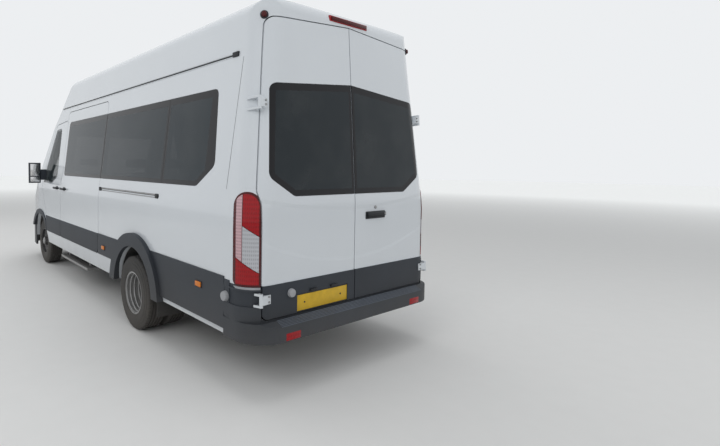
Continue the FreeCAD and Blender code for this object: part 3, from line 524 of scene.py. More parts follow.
def piece(name, shape, finish, body="body", slot=None, smooth=35):
    """A new object from a bmesh, riding on a body, with edges sharper than smooth kept crisp."""
    slot = slot or SLOTS.get(finish, "dark_plastic")
    mesh = bpy.data.meshes.new(name)
    shape.to_mesh(mesh)
    shape.free()
    for polygon in mesh.polygons:
        polygon.use_smooth = True
    mesh.set_sharp_from_angle(angle=math.radians(smooth))
    finishes = (finish,) if isinstance(finish, str) else finish
    for each in finishes:
        mesh.materials.append(FINISHES[each])
    made = bpy.data.objects.new(name, mesh)
    bpy.context.scene.collection.objects.link(made)
    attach(made, body)
    return made


def copy_of(node):
    """A CAD node's mesh as a new bmesh, its loose triangles merged."""
    shape = bmesh.new()
    shape.from_mesh(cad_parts[node].data)
    bmesh.ops.remove_doubles(shape, verts=shape.verts, dist=0.00001)
    return shape


def on_skin(nodes, start, aim):
    """Where a line from start along aim first meets one of these CAD nodes, and which way it faces there."""
    hits = []
    for node in (nodes,) if isinstance(nodes, str) else nodes:
        if node not in SKINS:
            shape = copy_of(node)
            SKINS[node] = BVHTree.FromBMesh(shape)
            shape.free()
        place, facing, _, distance = SKINS[node].ray_cast(Vector(start), Vector(aim))
        if place is not None:
            hits.append((distance, place, facing))
    if not hits:
        raise RuntimeError(f"no part of {nodes} lies from {start} along {aim}")
    return min(hits, key=lambda hit: hit[0])[1:]


def from_behind(nodes, y, z):
    """Place and facing of the skin that shows from straight behind."""
    return on_skin(nodes, (-FAR, y, z), FORWARD)


def from_ahead(nodes, y, z):
    """Place and facing of the skin that shows from straight ahead."""
    return on_skin(nodes, (FAR, y, z), -FORWARD)


def side_y(nodes, x, z, sign):
    """How far from the middle the outer side is, at a length and height."""
    return abs(on_skin(nodes, (x, sign * 2, z), (0, -sign, 0))[0].y)


def span(sign, near, far):
    """Two distances from the middle line, as low and high Y on one side."""
    return sorted((sign * near, sign * far))


def about(middle, half):
    """Both ends of a stretch, from its middle."""
    return middle - half, middle + half


def evenly(first, pitch, count):
    """Places in a row, a pitch apart."""
    return [first + i * pitch for i in range(count)]


def side_middle(low, high):
    """The middle of a box seen from the side, as X and Z."""
    return (low[0] + high[0]) / 2, (low[2] + high[2]) / 2


def round_edges(shape, edges, size, steps=2):
    """Round edges off by a size, in a few steps."""
    bmesh.ops.bevel(shape, geom=list(edges), offset=size, offset_type="OFFSET", segments=steps, profile=0.5,
                    affect="EDGES", material=-1)


def cut_off(shape, place, facing):
    """Cut away what lies past a plane, and close the cut."""
    cut = bmesh.ops.bisect_plane(shape, geom=shape.verts[:] + shape.edges[:] + shape.faces[:],
                                 plane_co=place, plane_no=facing, clear_outer=True)["geom_cut"]
    bmesh.ops.holes_fill(shape, edges=[item for item in cut if isinstance(item, bmesh.types.BMEdge)])


def add_block(shape, x, y, z, rounding=0.0, steps=2):
    """A block between two places on each axis, its edges rounded."""
    low, high = (Vector(corner) for corner in zip(sorted(x), sorted(y), sorted(z)))
    size = Matrix.Diagonal((*(high - low), 1))
    verts = bmesh.ops.create_cube(shape, size=1, matrix=Matrix.Translation((low + high) / 2) @ size)["verts"]
    if rounding:
        round_edges(shape, {edge for vert in verts for edge in vert.link_edges}, rounding, steps)


def add_rod(shape, start, end, radius, sides=16, end_radius=None, rounding=0.0):
    """A rod between two places, or a cone where its end has another radius, its rims rounded."""
    start, end = Vector(start), Vector(end)
    run = end - start
    turn = run.to_track_quat("Z", "Y").to_matrix().to_4x4()
    far = radius if end_radius is None else end_radius
    verts = bmesh.ops.create_cone(
        shape, cap_ends=True, segments=sides, radius1=radius, radius2=far, depth=run.length,
        matrix=Matrix.Translation((start + end) / 2) @ turn)["verts"]
    if rounding:
        caps = {edge for vert in verts for edge in vert.link_edges if len(edge.link_faces) == 2 and any(
            len(face.verts) > 4 for face in edge.link_faces)}
        round_edges(shape, caps, rounding)


def blocks(*rows):
    """A new shape of blocks, each row as add_block takes it."""
    shape = bmesh.new()
    for row in rows:
        add_block(shape, *row)
    return shape


def rods(*rows):
    """A new shape of rods, each row as add_rod takes it."""
    shape = bmesh.new()
    for row in rows:
        add_rod(shape, *row)
    return shape


def add_path(shape, places, radius, sides=10):
    """Rods end to end along a line of places."""
    for start, end in zip(places, places[1:]):
        add_rod(shape, start, end, radius, sides)


def add_lathe(shape, outline, centre, axis, steps):
    """A closed outline of (distance along the axis, radius) spun a quarter round, then copied three times."""
    known = set(shape.verts)
    centre, axis = Vector(centre), Vector(axis)
    out = axis.orthogonal().normalized()
    verts = [shape.verts.new(centre + axis * a + out * r) for a, r in outline]
    edges = [shape.edges.new((a, b)) for a, b in zip(verts, verts[1:] + verts[:1])]
    bmesh.ops.spin(shape, geom=verts + edges, cent=centre, axis=axis, angle=math.tau / 4,
                   steps=steps // 4, use_merge=False, use_duplicate=False)
    quarter = {item for vert in shape.verts if vert not in known
               for item in (vert, *vert.link_edges, *vert.link_faces)}
    bmesh.ops.spin(shape, geom=list(quarter), cent=centre, axis=axis, angle=math.tau * 3 / 4, steps=3,
                   use_merge=False, use_duplicate=True)
    made = [vert for vert in shape.verts if vert not in known]
    bmesh.ops.remove_doubles(shape, verts=made, dist=0.00001)
    made = {face for vert in shape.verts if vert not in known for face in vert.link_faces}
    bmesh.ops.recalc_face_normals(shape, faces=list(made))


def add_nut(shape, foot, axis, across, high):
    """A hexagon nut on its washer, with the end of its stud."""
    foot, axis = Vector(foot), Vector(axis)
    add_rod(shape, foot, foot + axis * high * 0.15, across * 0.75, 16)
    add_rod(shape, foot + axis * high * 0.15, foot + axis * high * 0.8, across * 0.58, 6, rounding=0.001)
    add_rod(shape, foot + axis * high * 0.8, foot + axis * high, across * 0.3, 10)


# A cushion, as shares of its half size: its crown, a sewn channel's depth and width, the pull of its sides
CROWN, SEAM_DEPTH, SEAM_WIDTH, SIDE_PULL = 0.16, 0.16, 0.07, 0.035
ROUNDNESS = 5


def add_cushion(shape, centre, half, lean, channels=()):
    """A crowned pad: a cube rounded off, its faces swollen, its sides pulled in, its sewn channels sunk."""
    known = set(shape.verts)
    cube = bmesh.ops.create_cube(shape, size=2)["verts"]
    edges = list({edge for vert in cube for edge in vert.link_edges})
    bmesh.ops.subdivide_edges(shape, edges=edges, cuts=11, use_grid_fill=True)
    place = Matrix.Translation(centre) @ Matrix.Rotation(lean, 4, "Y") @ Matrix.Diagonal((*half, 1))
    for vert in shape.verts:
        if vert in known:
            continue
        u, v, w = vert.co / sum(abs(part) ** ROUNDNESS for part in vert.co) ** (1 / ROUNDNESS)
        swell = CROWN * (1 - u * u) * (1 - v * v)
        seam = SEAM_DEPTH * sum(math.exp(-((u - line) / SEAM_WIDTH) ** 2) for line in channels)
        pull = 1 - SIDE_PULL * (1 - w * w)
        top = w * (1 - CROWN + swell) - (seam if w > 0.5 else 0)
        vert.co = place @ Vector((u * pull, v * pull, top))


class BUS_OT_finish_frame(bpy.types.Operator):
    """Make every finish, and give the listed CAD nodes their paint, plastic, glass or metal"""

    bl_idname = "bus.finish_frame"
    bl_label = "Finish the Frame"

    def execute(self, context):
        FINISHES.update(make_all(context.scene.bus_colours))
        for finish, names in CAD_FINISHES.items():
            for name in names:
                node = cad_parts[name]
                node.data.materials.clear()
                node.data.materials.append(FINISHES[finish])
        return {"FINISHED"}


TYRE_HALF = 0.103

# Half of a tyre's section: distance from its middle, and radius, from the bead to the tread
TYRE_SIDE = (
    (0.0970, 0.2032), (0.0990, 0.2090), (0.0992, 0.2150), (0.0972, 0.2175), (0.0985, 0.2240),
    (0.1005, 0.2360), (0.1020, 0.2500), (0.1025, 0.2640), (0.1018, 0.2760), (0.1027, 0.2775),
    (0.1027, 0.2805), (0.1006, 0.2820), (0.0990, 0.2950), (0.0966, 0.3060), (0.0974, 0.3075),
    (0.0968, 0.3105), (0.0942, 0.3120), (0.0915, 0.3240), (0.0880, 0.3360), (0.0845, 0.3430),
    (0.0790, 0.3470), (0.0700, 0.3485),
)

# The grooves' distances from the middle, and each one's half width at its top and at its foot
GROOVES = (0.047, 0.017)
GROOVE_TOP, GROOVE_FOOT = 0.0052, 0.004
STEPS_PER_BLOCK = 6

# The notches between the shoulder blocks: nearest and farthest from the middle, depth, and the tread they cut
NOTCH_NEAR, NOTCH_FAR, NOTCH_DEPTH, TREAD_THICK = 0.060, 0.095, 0.006, 0.02


def tyre_outline(radius, depth):
    """The whole closed section of a tyre, as (distance along the axle, radius)."""
    half = list(TYRE_SIDE)
    for middle in GROOVES:
        half += [(middle + GROOVE_TOP, radius), (middle + GROOVE_FOOT, radius - depth)]
        half += [(middle - GROOVE_FOOT, radius - depth), (middle - GROOVE_TOP, radius)]
    return half + [(-a, r) for a, r in reversed(half)]


class BUS_OT_tyres(bpy.types.Operator):
    """Spin the tyres, with their grooves, shoulder blocks and ribbed side walls"""

    bl_idname = "bus.tyres"
    bl_label = "Tyres"

    def execute(self, context):
        sizes = context.scene.bus_sizes
        steps = sizes.tread_blocks * STEPS_PER_BLOCK
        for side, sign in SIDES:
            for tyre, wheel, count in (("front_tyre", "front_wheel", 1), ("rear_tyres", "rear_wheels", 2)):
                low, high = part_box(f"{tyre}_{side}")
                radius = (high[2] - low[2]) / 2
                reach = sorted((abs(low[1]), abs(high[1])))
                shape = bmesh.new()
                for across in (reach[1] - TYRE_HALF, reach[0] + TYRE_HALF)[:count]:
                    centre = Vector(((low[0] + high[0]) / 2, sign * across, low[2] + radius))
                    add_lathe(shape, tyre_outline(radius, sizes.tread_depth), centre, (0, 1, 0), steps)
                    self.cut_blocks(shape, centre, radius, steps)
                made = piece(f"tyre_{tyre}_{side}", shape, "rubber", f"{wheel}_{side}", smooth=30)
                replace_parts(made, f"{tyre}_{side}")
        return {"FINISHED"}

    def cut_blocks(self, shape, centre, radius, steps):
        """Notches across both shoulders, one between each two blocks."""
        for vert in shape.verts:
            arm = vert.co - centre
            reach = math.hypot(arm.x, arm.z)
            if not (NOTCH_NEAR < abs(arm.y) < NOTCH_FAR and radius - TREAD_THICK < reach):
                continue
            step = round(math.atan2(arm.z, arm.x) / math.tau * steps)
            if step % STEPS_PER_BLOCK == 0:
                share = 1 - NOTCH_DEPTH / reach
                vert.co = centre + Vector((arm.x * share, arm.y, arm.z * share))


# Wheel nuts, valve and hub bolts: widths, lengths, and how far each stands from the axle
NUT_ACROSS, NUT_HIGH = 0.017, 0.028
VALVE_RING, VALVE_LONG, VALVE_SUNK, VALVE_RADIUS = 0.172, 0.045, 0.02, 0.004
HUB_BOLTS, HUB_BOLT_RING, HUB_BOLT_HIGH, HUB_BOLT_RADIUS = 8, 0.042, 0.008, 0.005

# The stepped barrel of the twin wheels: its radius, and each step's distance from the middle and depth
BARREL = 0.1895
BARREL_STEPS = ((0.900, 0.008), (0.945, 0.005), (0.985, 0.007), (1.022, 0.004))


class BUS_OT_wheel_trim(bpy.types.Operator):
    """Add the wheel nuts, hubs, valves and the stepped rings inside the rear rims"""

    bl_idname = "bus.wheel_trim"
    bl_label = "Wheel Trim"

    def execute(self, context):
        count = context.scene.bus_sizes.wheel_nuts
        # wheel, rim, ring of the nuts, the disc's face, hub outline from that face
        wheels = (
            ("front_wheel", "front_rim", 0.085, 0.912,
             ((0.050, 0), (0.050, 0.050), (0.056, 0.050), (0.064, 0.042), (0.068, 0.025), (0.069, 0))),
            ("rear_wheels", "rear_rims", 0.100, 0.830,
             ((-0.002, 0), (-0.002, 0.070), (0.020, 0.070), (0.024, 0.064), (0.052, 0.060), (0.058, 0.050),
              (0.060, 0))),
        )
        for side, sign in SIDES:
            axle = Vector((0, sign, 0))
            for wheel, rim, ring, face, hub in wheels:
                low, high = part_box(f"{rim}_{side}")
                x, z = side_middle(low, high)
                centre = Vector((x, sign * face, z))
                nuts = bmesh.new()
                for i in range(count):
                    add_nut(nuts, centre + self.spoke(i / count, ring), axle, NUT_ACROSS, NUT_HIGH)
                valve = centre + self.spoke(0.5 / count, VALVE_RING) - axle * VALVE_SUNK
                add_rod(nuts, valve, valve + axle * VALVE_LONG, VALVE_RADIUS, 10)
                piece(f"{wheel}_nuts_{side}", nuts, "steel", f"{wheel}_{side}")
                cap = bmesh.new()
                add_lathe(cap, hub, centre, axle, 48)
                end = centre + axle * hub[-1][0]
                for i in range(HUB_BOLTS):
                    bolt = end - axle * HUB_BOLT_HIGH + self.spoke(i / HUB_BOLTS, HUB_BOLT_RING)
                    add_rod(cap, bolt, bolt + axle * HUB_BOLT_HIGH, HUB_BOLT_RADIUS, 6)
                piece(f"{wheel}_hub_{side}", cap, "wheel", f"{wheel}_{side}")
            self.rings(side, sign)
        return {"FINISHED"}

    def spoke(self, turn, reach):
        angle = math.tau * turn
        return Vector((math.cos(angle), 0, math.sin(angle))) * reach

    def rings(self, side, sign):
        """The rear rim's stepped barrel, seen in the deep dish."""
        low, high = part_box(f"rear_rims_{side}")
        x, z = side_middle(low, high)
        shape = bmesh.new()
        for across, deep in BARREL_STEPS:
            inner = BARREL - deep
            outline = ((-0.010, BARREL), (-0.004, inner), (0.004, inner), (0.010, BARREL))
            add_lathe(shape, [(sign * (across + a), r) for a, r in outline], (x, 0, z), (0, 1, 0), 96)
        piece(f"rear_rim_rings_{side}", shape, "wheel", f"rear_wheels_{side}")


# The tail lamp, as distances across it from its middle towards the side of the bus, and heights
LAMP_HALF, LAMP_LOW, LAMP_TOP, LAMP_ROUND = 0.102, 0.771, 1.405, 0.100
LAMP_RIM, LAMP_GAP = 0.015, 0.002
LAMP_OUTER = 0.075
LAMP_STRIP = 0.029
LAMP_SLOPE = 0.6
LAMP_UPPER = (0.026, 1.178)
LAMP_LOWER = (0.072, 0.960)
LAMP_FACETS = 12
LENS_RISE = 0.004

# The pale pad under each lamp: the height it is cut at, and how far it stands back, out and down
PAD_TOP, PAD_BACK, PAD_OUT, PAD_DOWN = 0.788, 0.004, 0.004, 0.019


class BUS_OT_tail_lamps(bpy.types.Operator):
    """Divide the tail lamps into their dark rim, red blocks, clear block and ribbed strip"""

    bl_idname = "bus.tail_lamps"
    bl_label = "Tail Lamps"

    def execute(self, context):
        shape = copy_of("tail_lamps")
        for _, sign in SIDES:
            self.divide(shape, sign)
        lenses = ("dark_red", "red", "clear_lens", "pink_lens")
        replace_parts(piece("tail_lamp_lenses", shape, lenses, "body", "lamp", 25), "tail_lamps")
        pads = copy_of("tail_lamps")
        cut_off(pads, UP * PAD_TOP, UP)
        bmesh.ops.translate(pads, verts=pads.verts, vec=(-PAD_BACK, 0, -PAD_DOWN))
        for vert in pads.verts:
            vert.co.y += math.copysign(PAD_OUT, vert.co.y)
        piece("tail_lamp_pads", pads, "cup")
        return {"FINISHED"}

    def divide(self, shape, sign):
        """Cut one lamp's outer face along the lines between its lenses, and raise each lens."""
        run = Vector((1, sign, 0)).normalized()
        out = Vector((-1, sign, 0)).normalized()
        reach = [vert.co.dot(run) for vert in shape.verts if vert.co.y * sign > 0]
        middle = (min(reach) + max(reach)) / 2
        rim = self.rim(run, middle)
        slope = (UP - run * LAMP_SLOPE).normalized()
        lines = [(run * (middle + LAMP_STRIP), run)]
        lines += [(run * (middle + across) + UP * z, slope) for across, z in (LAMP_UPPER, LAMP_LOWER)]
        planes = list(rim)
        for place, facing in lines:
            planes += [(place + facing * LAMP_GAP, facing), (place - facing * LAMP_GAP, facing)]
        faces = [face for face in shape.faces
                 if face.calc_center_median().y * sign > 0 and face.normal.dot(out) > 0.5]
        for place, facing in planes:
            near = {item for face in faces for item in (*face.verts, *face.edges)}
            cut = bmesh.ops.bisect_plane(shape, geom=list(near) + faces, plane_co=place, plane_no=facing)
            faces = [item for item in cut["geom"] if isinstance(item, bmesh.types.BMFace)]
        groups = {1: [], 2: [], 3: []}
        for face in faces:
            centre = face.calc_center_median()
            if all((centre - place).dot(facing) < 0 for place, facing in rim):
                lens = self.lens_at(*[(centre - place).dot(facing) for place, facing in lines])
                if lens:
                    groups[lens].append(face)
        for lens, group in groups.items():
            for face in group:
                face.material_index = lens
            made = bmesh.ops.extrude_face_region(shape, geom=group)["geom"]
            bmesh.ops.translate(shape, verts=[item for item in made if isinstance(item, bmesh.types.BMVert)],
                                vec=out * LENS_RISE)

    def rim(self, run, middle):
        """The planes that bound the lenses inside the lamp's rounded outline."""
        planes = [(UP * (LAMP_LOW + LAMP_RIM), -UP), (run * (middle + LAMP_OUTER), run)]
        for step in range(LAMP_FACETS + 1):
            turn = math.pi * step / LAMP_FACETS
            facing = run * math.cos(turn) + UP * math.sin(turn)
            across = math.copysign(LAMP_HALF - LAMP_ROUND, math.cos(turn))
            centre = run * (middle + across) + UP * (LAMP_TOP - LAMP_ROUND)
            planes.append((centre + facing * (LAMP_ROUND - LAMP_RIM), facing))
        return planes

    def lens_at(self, strip, upper, lower):
        """Which lens a place belongs to, from its distances past the three lines between them."""
        if lower < -LAMP_GAP:
            return 1
        if lower < LAMP_GAP:
            return 0
        if strip > LAMP_GAP:
            return 3
        if strip > -LAMP_GAP:
            return 0
        if upper > LAMP_GAP:
            return 1
        return 0 if upper > -LAMP_GAP else 2


# Rear trim: places and sizes in metres; the hinge bolts' are distances from the middle line, and heights
HIGH_LAMP_Z = 2.698
MARKER_Y, MARKER_Z = 0.800, 2.612
HANDLE_Y, LOCK_Y, LOCK_Z, CAP_Y, CAP_Z = -0.247, -0.342, 1.199, -0.245, 1.254
PLATE_Y, PLATE_Z, PLATE_HALF, PLATE_HALF_TALL = 0.344, 0.612, 0.259, 0.056
REFLECTOR_NEAR, REFLECTOR_FAR, REFLECTOR_LOW, REFLECTOR_HIGH = 0.628, 0.765, 0.398, 0.454
RIB_X, RIB_PITCH, RIB_COUNT, RIB_HALF = -3.348, 0.011, 6, 0.80
HINGE_BOLTS = ((0.868, 0.672), (0.868, 0.708), (0.858, 1.988), (0.858, 2.016))

# How far a flush lens stands out, so that it shows
FLUSH = 0.00004


class BUS_OT_rear_trim(bpy.types.Operator):
    """Fit the rear handle, blank plate, brake lamp, markers, reflectors, step ribs, stops and bolts"""

    bl_idname = "bus.rear_trim"
    bl_label = "Rear Trim"

    def execute(self, context):
        self.head_lamps()
        self.handle()
        self.plate()
        self.bumper()
        self.stops()
        self.hinge_bolts()
        return {"FINISHED"}

    def head_lamps(self):
        """The long brake lamp over the doors, and a round marker at each upper corner."""
        x = from_behind("roof_panel", 0, HIGH_LAMP_Z)[0].x
        # name, finish, how far it stands out and reaches in, half width, half height, rounding
        for name, finish, out, deep, half, tall, rounding in (
                ("high_brake_lamp", "dark_red", 0.020, 0.03, 0.200, 0.014, 0.006),
                ("high_brake_lamp_base", "red", 0.008, 0.04, 0.215, 0.022, 0.005)):
            lamp = ((x - out, x + deep), about(0, half), about(HIGH_LAMP_Z, tall), rounding)
            piece(name, blocks(lamp), finish)
        marker, rim = bmesh.new(), bmesh.new()
        for _, sign in SIDES:
            foot, facing = from_behind("roof_panel", sign * MARKER_Y, MARKER_Z)
            add_rod(rim, foot - facing * 0.01, foot + facing * 0.010, 0.029, 28, rounding=0.003)
            add_rod(marker, foot, foot + facing * 0.026, 0.023, 28, 0.017, rounding=0.004)
        piece("roof_markers", marker, "dark_red")
        piece("roof_marker_rims", rim, "trim")

    def handle(self):
        """The black pull on the right rear door, with its round lock and a small cap above."""
        door = "rear_door_right"
        x = from_behind(door, -0.28, 1.190)[0].x
        piece("rear_handle", blocks(
            ((x - 0.006, x + 0.01), about(HANDLE_Y, 0.121), (1.162, 1.222), 0.005, 3),
            ((x - 0.026, x - 0.002), about(HANDLE_Y, 0.113), (1.182, 1.216), 0.011, 4),
            ((x - 0.016, x - 0.002), about(HANDLE_Y, 0.101), (1.166, 1.180), 0.004),
        ), "trim", door)
        piece("rear_lock", rods(
            ((x + 0.004, LOCK_Y, LOCK_Z), (x - 0.0285, LOCK_Y, LOCK_Z), 0.009, 24, None, 0.001),
            ((x + 0.004, CAP_Y, CAP_Z), (x - 0.006, CAP_Y, CAP_Z), 0.013, 24, None, 0.002),
        ), "steel", door)

    def plate(self):
        """A blank plate in the left door's recess, its screws and the lamps over it."""
        door = "rear_door_left"
        x = from_behind(door, PLATE_Y, 0.600)[0].x
        plate = ((x - 0.0045, x + 0.001), about(PLATE_Y, PLATE_HALF), about(PLATE_Z, PLATE_HALF_TALL), 0.0015)
        piece("rear_plate", blocks(plate), "plate", door)
        screws = [((x, y, PLATE_Z), (x - 0.0070, y, PLATE_Z), 0.007, 16, None, 0.001) for y in (0.16, 0.53)]
        piece("rear_plate_screws", rods(*screws), "trim", door)
        lamps = [((x - 0.024, x - 0.004), about(y, 0.035), (0.683, 0.700), 0.004) for y in (0.24, 0.45)]
        piece("plate_lamps", blocks(*lamps), "trim", door, "lamp")

    def bumper(self):
        """The bumper's reflectors, and the ribs on its step, made lighter for wear and as a painted highlight
        along the step's top edge.
        """
        reflectors = bmesh.new()
        for _, sign in SIDES:
            x = from_behind("rear_bumper", sign * 0.697, 0.425)[0].x
            add_block(reflectors, (x - FLUSH, x + 0.02), span(sign, REFLECTOR_NEAR, REFLECTOR_FAR),
                      (REFLECTOR_LOW, REFLECTOR_HIGH), 0.003)
        piece("rear_reflectors", reflectors, "red")
        ribs = bmesh.new()
        for x in evenly(RIB_X, RIB_PITCH, RIB_COUNT):
            z = on_skin("rear_bumper", (x, 0, 2), -UP)[0].z
            add_rod(ribs, (x, -RIB_HALF, z), (x, RIB_HALF, z), 0.0030, 8)
        piece("step_ribs", ribs, "worn_plastic")

    def stops(self):
        """The round stops that hold the left door open: one on the body's side, one on the door."""
        foot = on_skin("side_panel_left", (-3.014, 2, 0.680), (0, -1, 0))[0]
        piece("body_door_stop", rods(
            (foot + Vector((0, -0.004, 0)), foot + Vector((0, 0.034, 0)), 0.037, 32, 0.032, 0.005),
            (foot, foot + Vector((0, 0.014, -0.034)), 0.020, 24, 0.016, 0.003),
        ), "cup")
        foot = from_behind("rear_door_left", 0.663, 0.700)[0]
        stop = (foot + FORWARD * 0.004, foot - FORWARD * 0.022, 0.032, 32, 0.028, 0.004)
        piece("rear_door_stop", rods(stop), "cup", "rear_door_left")

    def hinge_bolts(self):
        """Bolt heads on the door side of each hinge."""
        for side, sign in SIDES:
            door = f"rear_door_{side}"
            bolts = bmesh.new()
            for across, level in HINGE_BOLTS:
                foot = from_behind(door, sign * across, level)[0]
                add_rod(bolts, foot + FORWARD * 0.002, foot - FORWARD * 0.007, 0.0075, 6, rounding=0.001)
            piece(f"rear_hinge_bolts_{side}", bolts, "steel", door)


# Side trim: lengths forward of the origin, distances from the middle line and heights, in metres
PULL_Z = 1.236
FRONT_PULL, SLIDING_PULL, FRONT_LOCK_X = (1.262, 1.452), (0.905, 1.095), 1.232
FLARE_Y, FLARE_FOOT_Y, FLARE_REAR, FLARE_FRONT = 1.030, -1.018, -2.05, -0.80
LINER_RADIUS, LINER_RISE, LINER_NEAR, LINER_FAR = 0.454, 0.06, 0.610, 1.016
FILLER_X, SEAM_X, SEAM_Z, SEAM_LEAN = -3.014, -2.964, 1.415, 0.04
GUTTER_REAR, GUTTER_FRONT = -2.898, 1.500
RAIL_REAR, RAIL_FRONT = -1.905, -0.400
MARKERS = ((-0.577, 0.662), (-2.646, 0.688))


def add_pull(shape, node, near, far, sign):
    """A bar handle that stands off a side panel on two feet, over a shallow pad."""
    skin = side_y(node, (near + far) / 2, PULL_Z, sign)
    add_block(shape, (near, far), span(sign, skin + 0.020, skin + 0.036), about(PULL_Z, 0.014), 0.007, 3)
    for end, inward in ((near, 1), (far, -1)):
        foot = (end, end + inward * 0.045)
        add_block(shape, foot, span(sign, skin - 0.003, skin + 0.030), about(PULL_Z, 0.012), 0.005)
    pad = (near + 0.055, far - 0.055)
    add_block(shape, pad, span(sign, skin - 0.004, skin + 0.002), about(PULL_Z, 0.024), 0.0015)


class BUS_OT_side_trim(bpy.types.Operator):
    """Fit the right arch flare, arch liners, corner fillers, gutters, slide rail, markers and handles"""

    bl_idname = "bus.side_trim"
    bl_label = "Side Trim"

    def execute(self, context):
        self.right_flare()
        self.liners()
        self.corner_fillers()
        self.gutters()
        self.rail()
        self.markers()
        self.handles()
        return {"FINISHED"}

    def right_flare(self):
        """The rear arch's plastic flare on the right, the mirror image of the one on the left."""
        shape = copy_of("lower_cladding")
        cut_off(shape, (0, FLARE_Y, 0), (0, -1, 0))
        cut_off(shape, FORWARD * FLARE_REAR, -FORWARD)
        cut_off(shape, FORWARD * FLARE_FRONT, FORWARD)
        for vert in shape.verts:
            vert.co.y = -vert.co.y if vert.co.y > FLARE_Y + 0.0001 else FLARE_FOOT_Y
        bmesh.ops.recalc_face_normals(shape, faces=shape.faces)
        piece("right_arch_flare", shape, "plastic")

    def liners(self):
        """The dark liner round the twin wheels and the mud flap behind them."""
        shape = bmesh.new()
        for side, sign in SIDES:
            low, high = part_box(f"rear_tyres_{side}")
            x, z = side_middle(low, high)
            front, rear = x + LINER_RADIUS, x - LINER_RADIUS
            verts = [shape.verts.new((front, sign * y, z + LINER_RISE)) for y in (LINER_NEAR, LINER_FAR)]
            edge = shape.edges.new(verts)
            bmesh.ops.spin(shape, geom=verts + [edge], cent=(x, 0, z + LINER_RISE), axis=(0, -1, 0),
                           angle=math.pi, steps=40, use_merge=False, use_duplicate=False)
            add_block(shape, about(rear, 0.004), span(sign, 0.640, 1.006), (z - 0.130, z + 0.065), 0.003)
        bmesh.ops.recalc_face_normals(shape, faces=shape.faces)
        made = piece("rear_arch_liners", shape, "trim")
        thick = made.modifiers.new("thickness", "SOLIDIFY")
        thick.thickness = 0.003

    def corner_fillers(self):
        """The plastic that joins the side cladding to the rear corner, and the seam above it."""
        fillers, seams = bmesh.new(), bmesh.new()
        for side, sign in SIDES:
            walls = (f"side_panel_{side}", "rear_frame", "roof_panel")
            skin = side_y(walls, FILLER_X, 0.68, sign)
            wall = span(sign, skin - 0.004, skin + 0.0065)
            add_block(fillers, (-3.052, -2.975), wall, (0.540, 0.794), 0.004)
            line = []
            for z in evenly(SEAM_Z, 0.077, 13):
                x = SEAM_X - (z - SEAM_Z) * SEAM_LEAN
                line.append((x, sign * (side_y(walls, x, z, sign) - 0.0006), z))
            add_path(seams, line, 0.0018)
        piece("corner_fillers", fillers, "plastic")
        piece("corner_seams", seams, "trim")

    def gutters(self):
        """A painted lip along each side of the roof, over a dark channel that ends in a cap."""
        lip, channel = bmesh.new(), bmesh.new()
        run = (GUTTER_REAR, GUTTER_FRONT)
        end = (GUTTER_REAR - 0.045, GUTTER_REAR + 0.03)
        for _, sign in SIDES:
            skin = side_y("roof_panel", 0, 2.372, sign)
            add_block(lip, run, span(sign, skin - 0.006, skin + 0.009), (2.371, 2.386), 0.004)
            add_block(lip, run, span(sign, skin - 0.004, skin + 0.006), (2.354, 2.360), 0.002)
            add_block(channel, run, span(sign, skin - 0.004, skin + 0.003), (2.359, 2.372))
            add_block(channel, end, span(sign, skin - 0.004, skin + 0.011), (2.352, 2.388), 0.004)
        piece("rain_gutters", lip, "nose_paint")
        piece("gutter_channels", channel, "trim")

    def rail(self):
        """The open rail that carries the sliding door along the left rear panel, and a black sheet in the
        slot behind it as painted shade.
        """
        run = (RAIL_REAR, RAIL_FRONT)
        skin = side_y("side_panel_left", -1.0, 1.340, 1)
        piece("slide_rail", blocks(
            (run, (skin - 0.004, skin + 0.006), (1.308, 1.320), 0.002),
            (run, (skin - 0.004, skin + 0.004), (1.286, 1.294), 0.002),
        ), "steel")
        ends = [((end - 0.006, end + 0.056), (skin - 0.004, skin + 0.011), (1.282, 1.324), 0.005)
                for end in (RAIL_REAR, RAIL_FRONT - 0.050)]
        # A black sheet just inside the skin fills the rail's slot: painted shade in the recess
        slot = (run, (skin - 0.0055, skin - 0.0005), (1.286, 1.320))
        piece("slide_rail_ends_and_slot_shade", blocks(slot, *ends), "trim")

    def markers(self):
        """Amber lamps along both sides, each in a dark rim."""
        lens, rim = bmesh.new(), bmesh.new()
        for _, sign in SIDES:
            for x, z in MARKERS:
                skin = side_y("lower_cladding", x, z, sign)
                foot, face = span(sign, skin - 0.003, skin + 0.004), span(sign, skin, skin + 0.013)
                add_block(rim, about(x, 0.046), foot, about(z, 0.026), 0.0015)
                add_block(lens, about(x, 0.040), face, about(z, 0.020), 0.006, 3)
        piece("side_markers", lens, "amber")
        piece("side_marker_rims", rim, "trim")

    def handles(self):
        """A pull and a lock on each front door, and a pull on the sliding door."""
        for side, sign in SIDES:
            door = f"front_door_{side}"
            handle = bmesh.new()
            add_pull(handle, door, *FRONT_PULL, sign)
            piece(f"front_handle_{side}", handle, "trim", door)
            skin = side_y(door, 1.23, PULL_Z, sign)
            ends = [(FRONT_LOCK_X, sign * y, PULL_Z) for y in (skin - 0.004, skin + 0.004)]
            piece(f"front_lock_{side}", rods((*ends, 0.009, 20)), "steel", door)
        handle = bmesh.new()
        add_pull(handle, "sliding_door", *SLIDING_PULL, 1)
        piece("sliding_door_handle", handle, "trim")


# Front trim, in metres. Lamp bowls: distance from the middle line, height, radius
LAMP_BOWLS = ((0.545, 0.835, 0.068), (0.700, 0.850, 0.062))
INDICATOR_Y, INDICATOR_Z, INDICATOR_RADIUS = 0.815, 0.885, 0.035
HOUSING_DEEP, HOUSING_GAP, HOUSING_Y, HOUSING_Z = 0.055, 0.004, 0.68, 0.85
MESH_HALF, MESH_LOW, MESH_HIGH = 0.415, 0.684, 0.920
FOG_LAMP_Y, FOG_LAMP_Z = 0.640, 0.420
# Wipers: place of the pivot, and of the blade's two ends, across the bus
WIPERS = ((0.52, 0.50, -0.10), (-0.12, -0.14, -0.72))
BLADE_Z, BLADE_BOW, BLADE_RUNS = 1.392, 0.012, 8


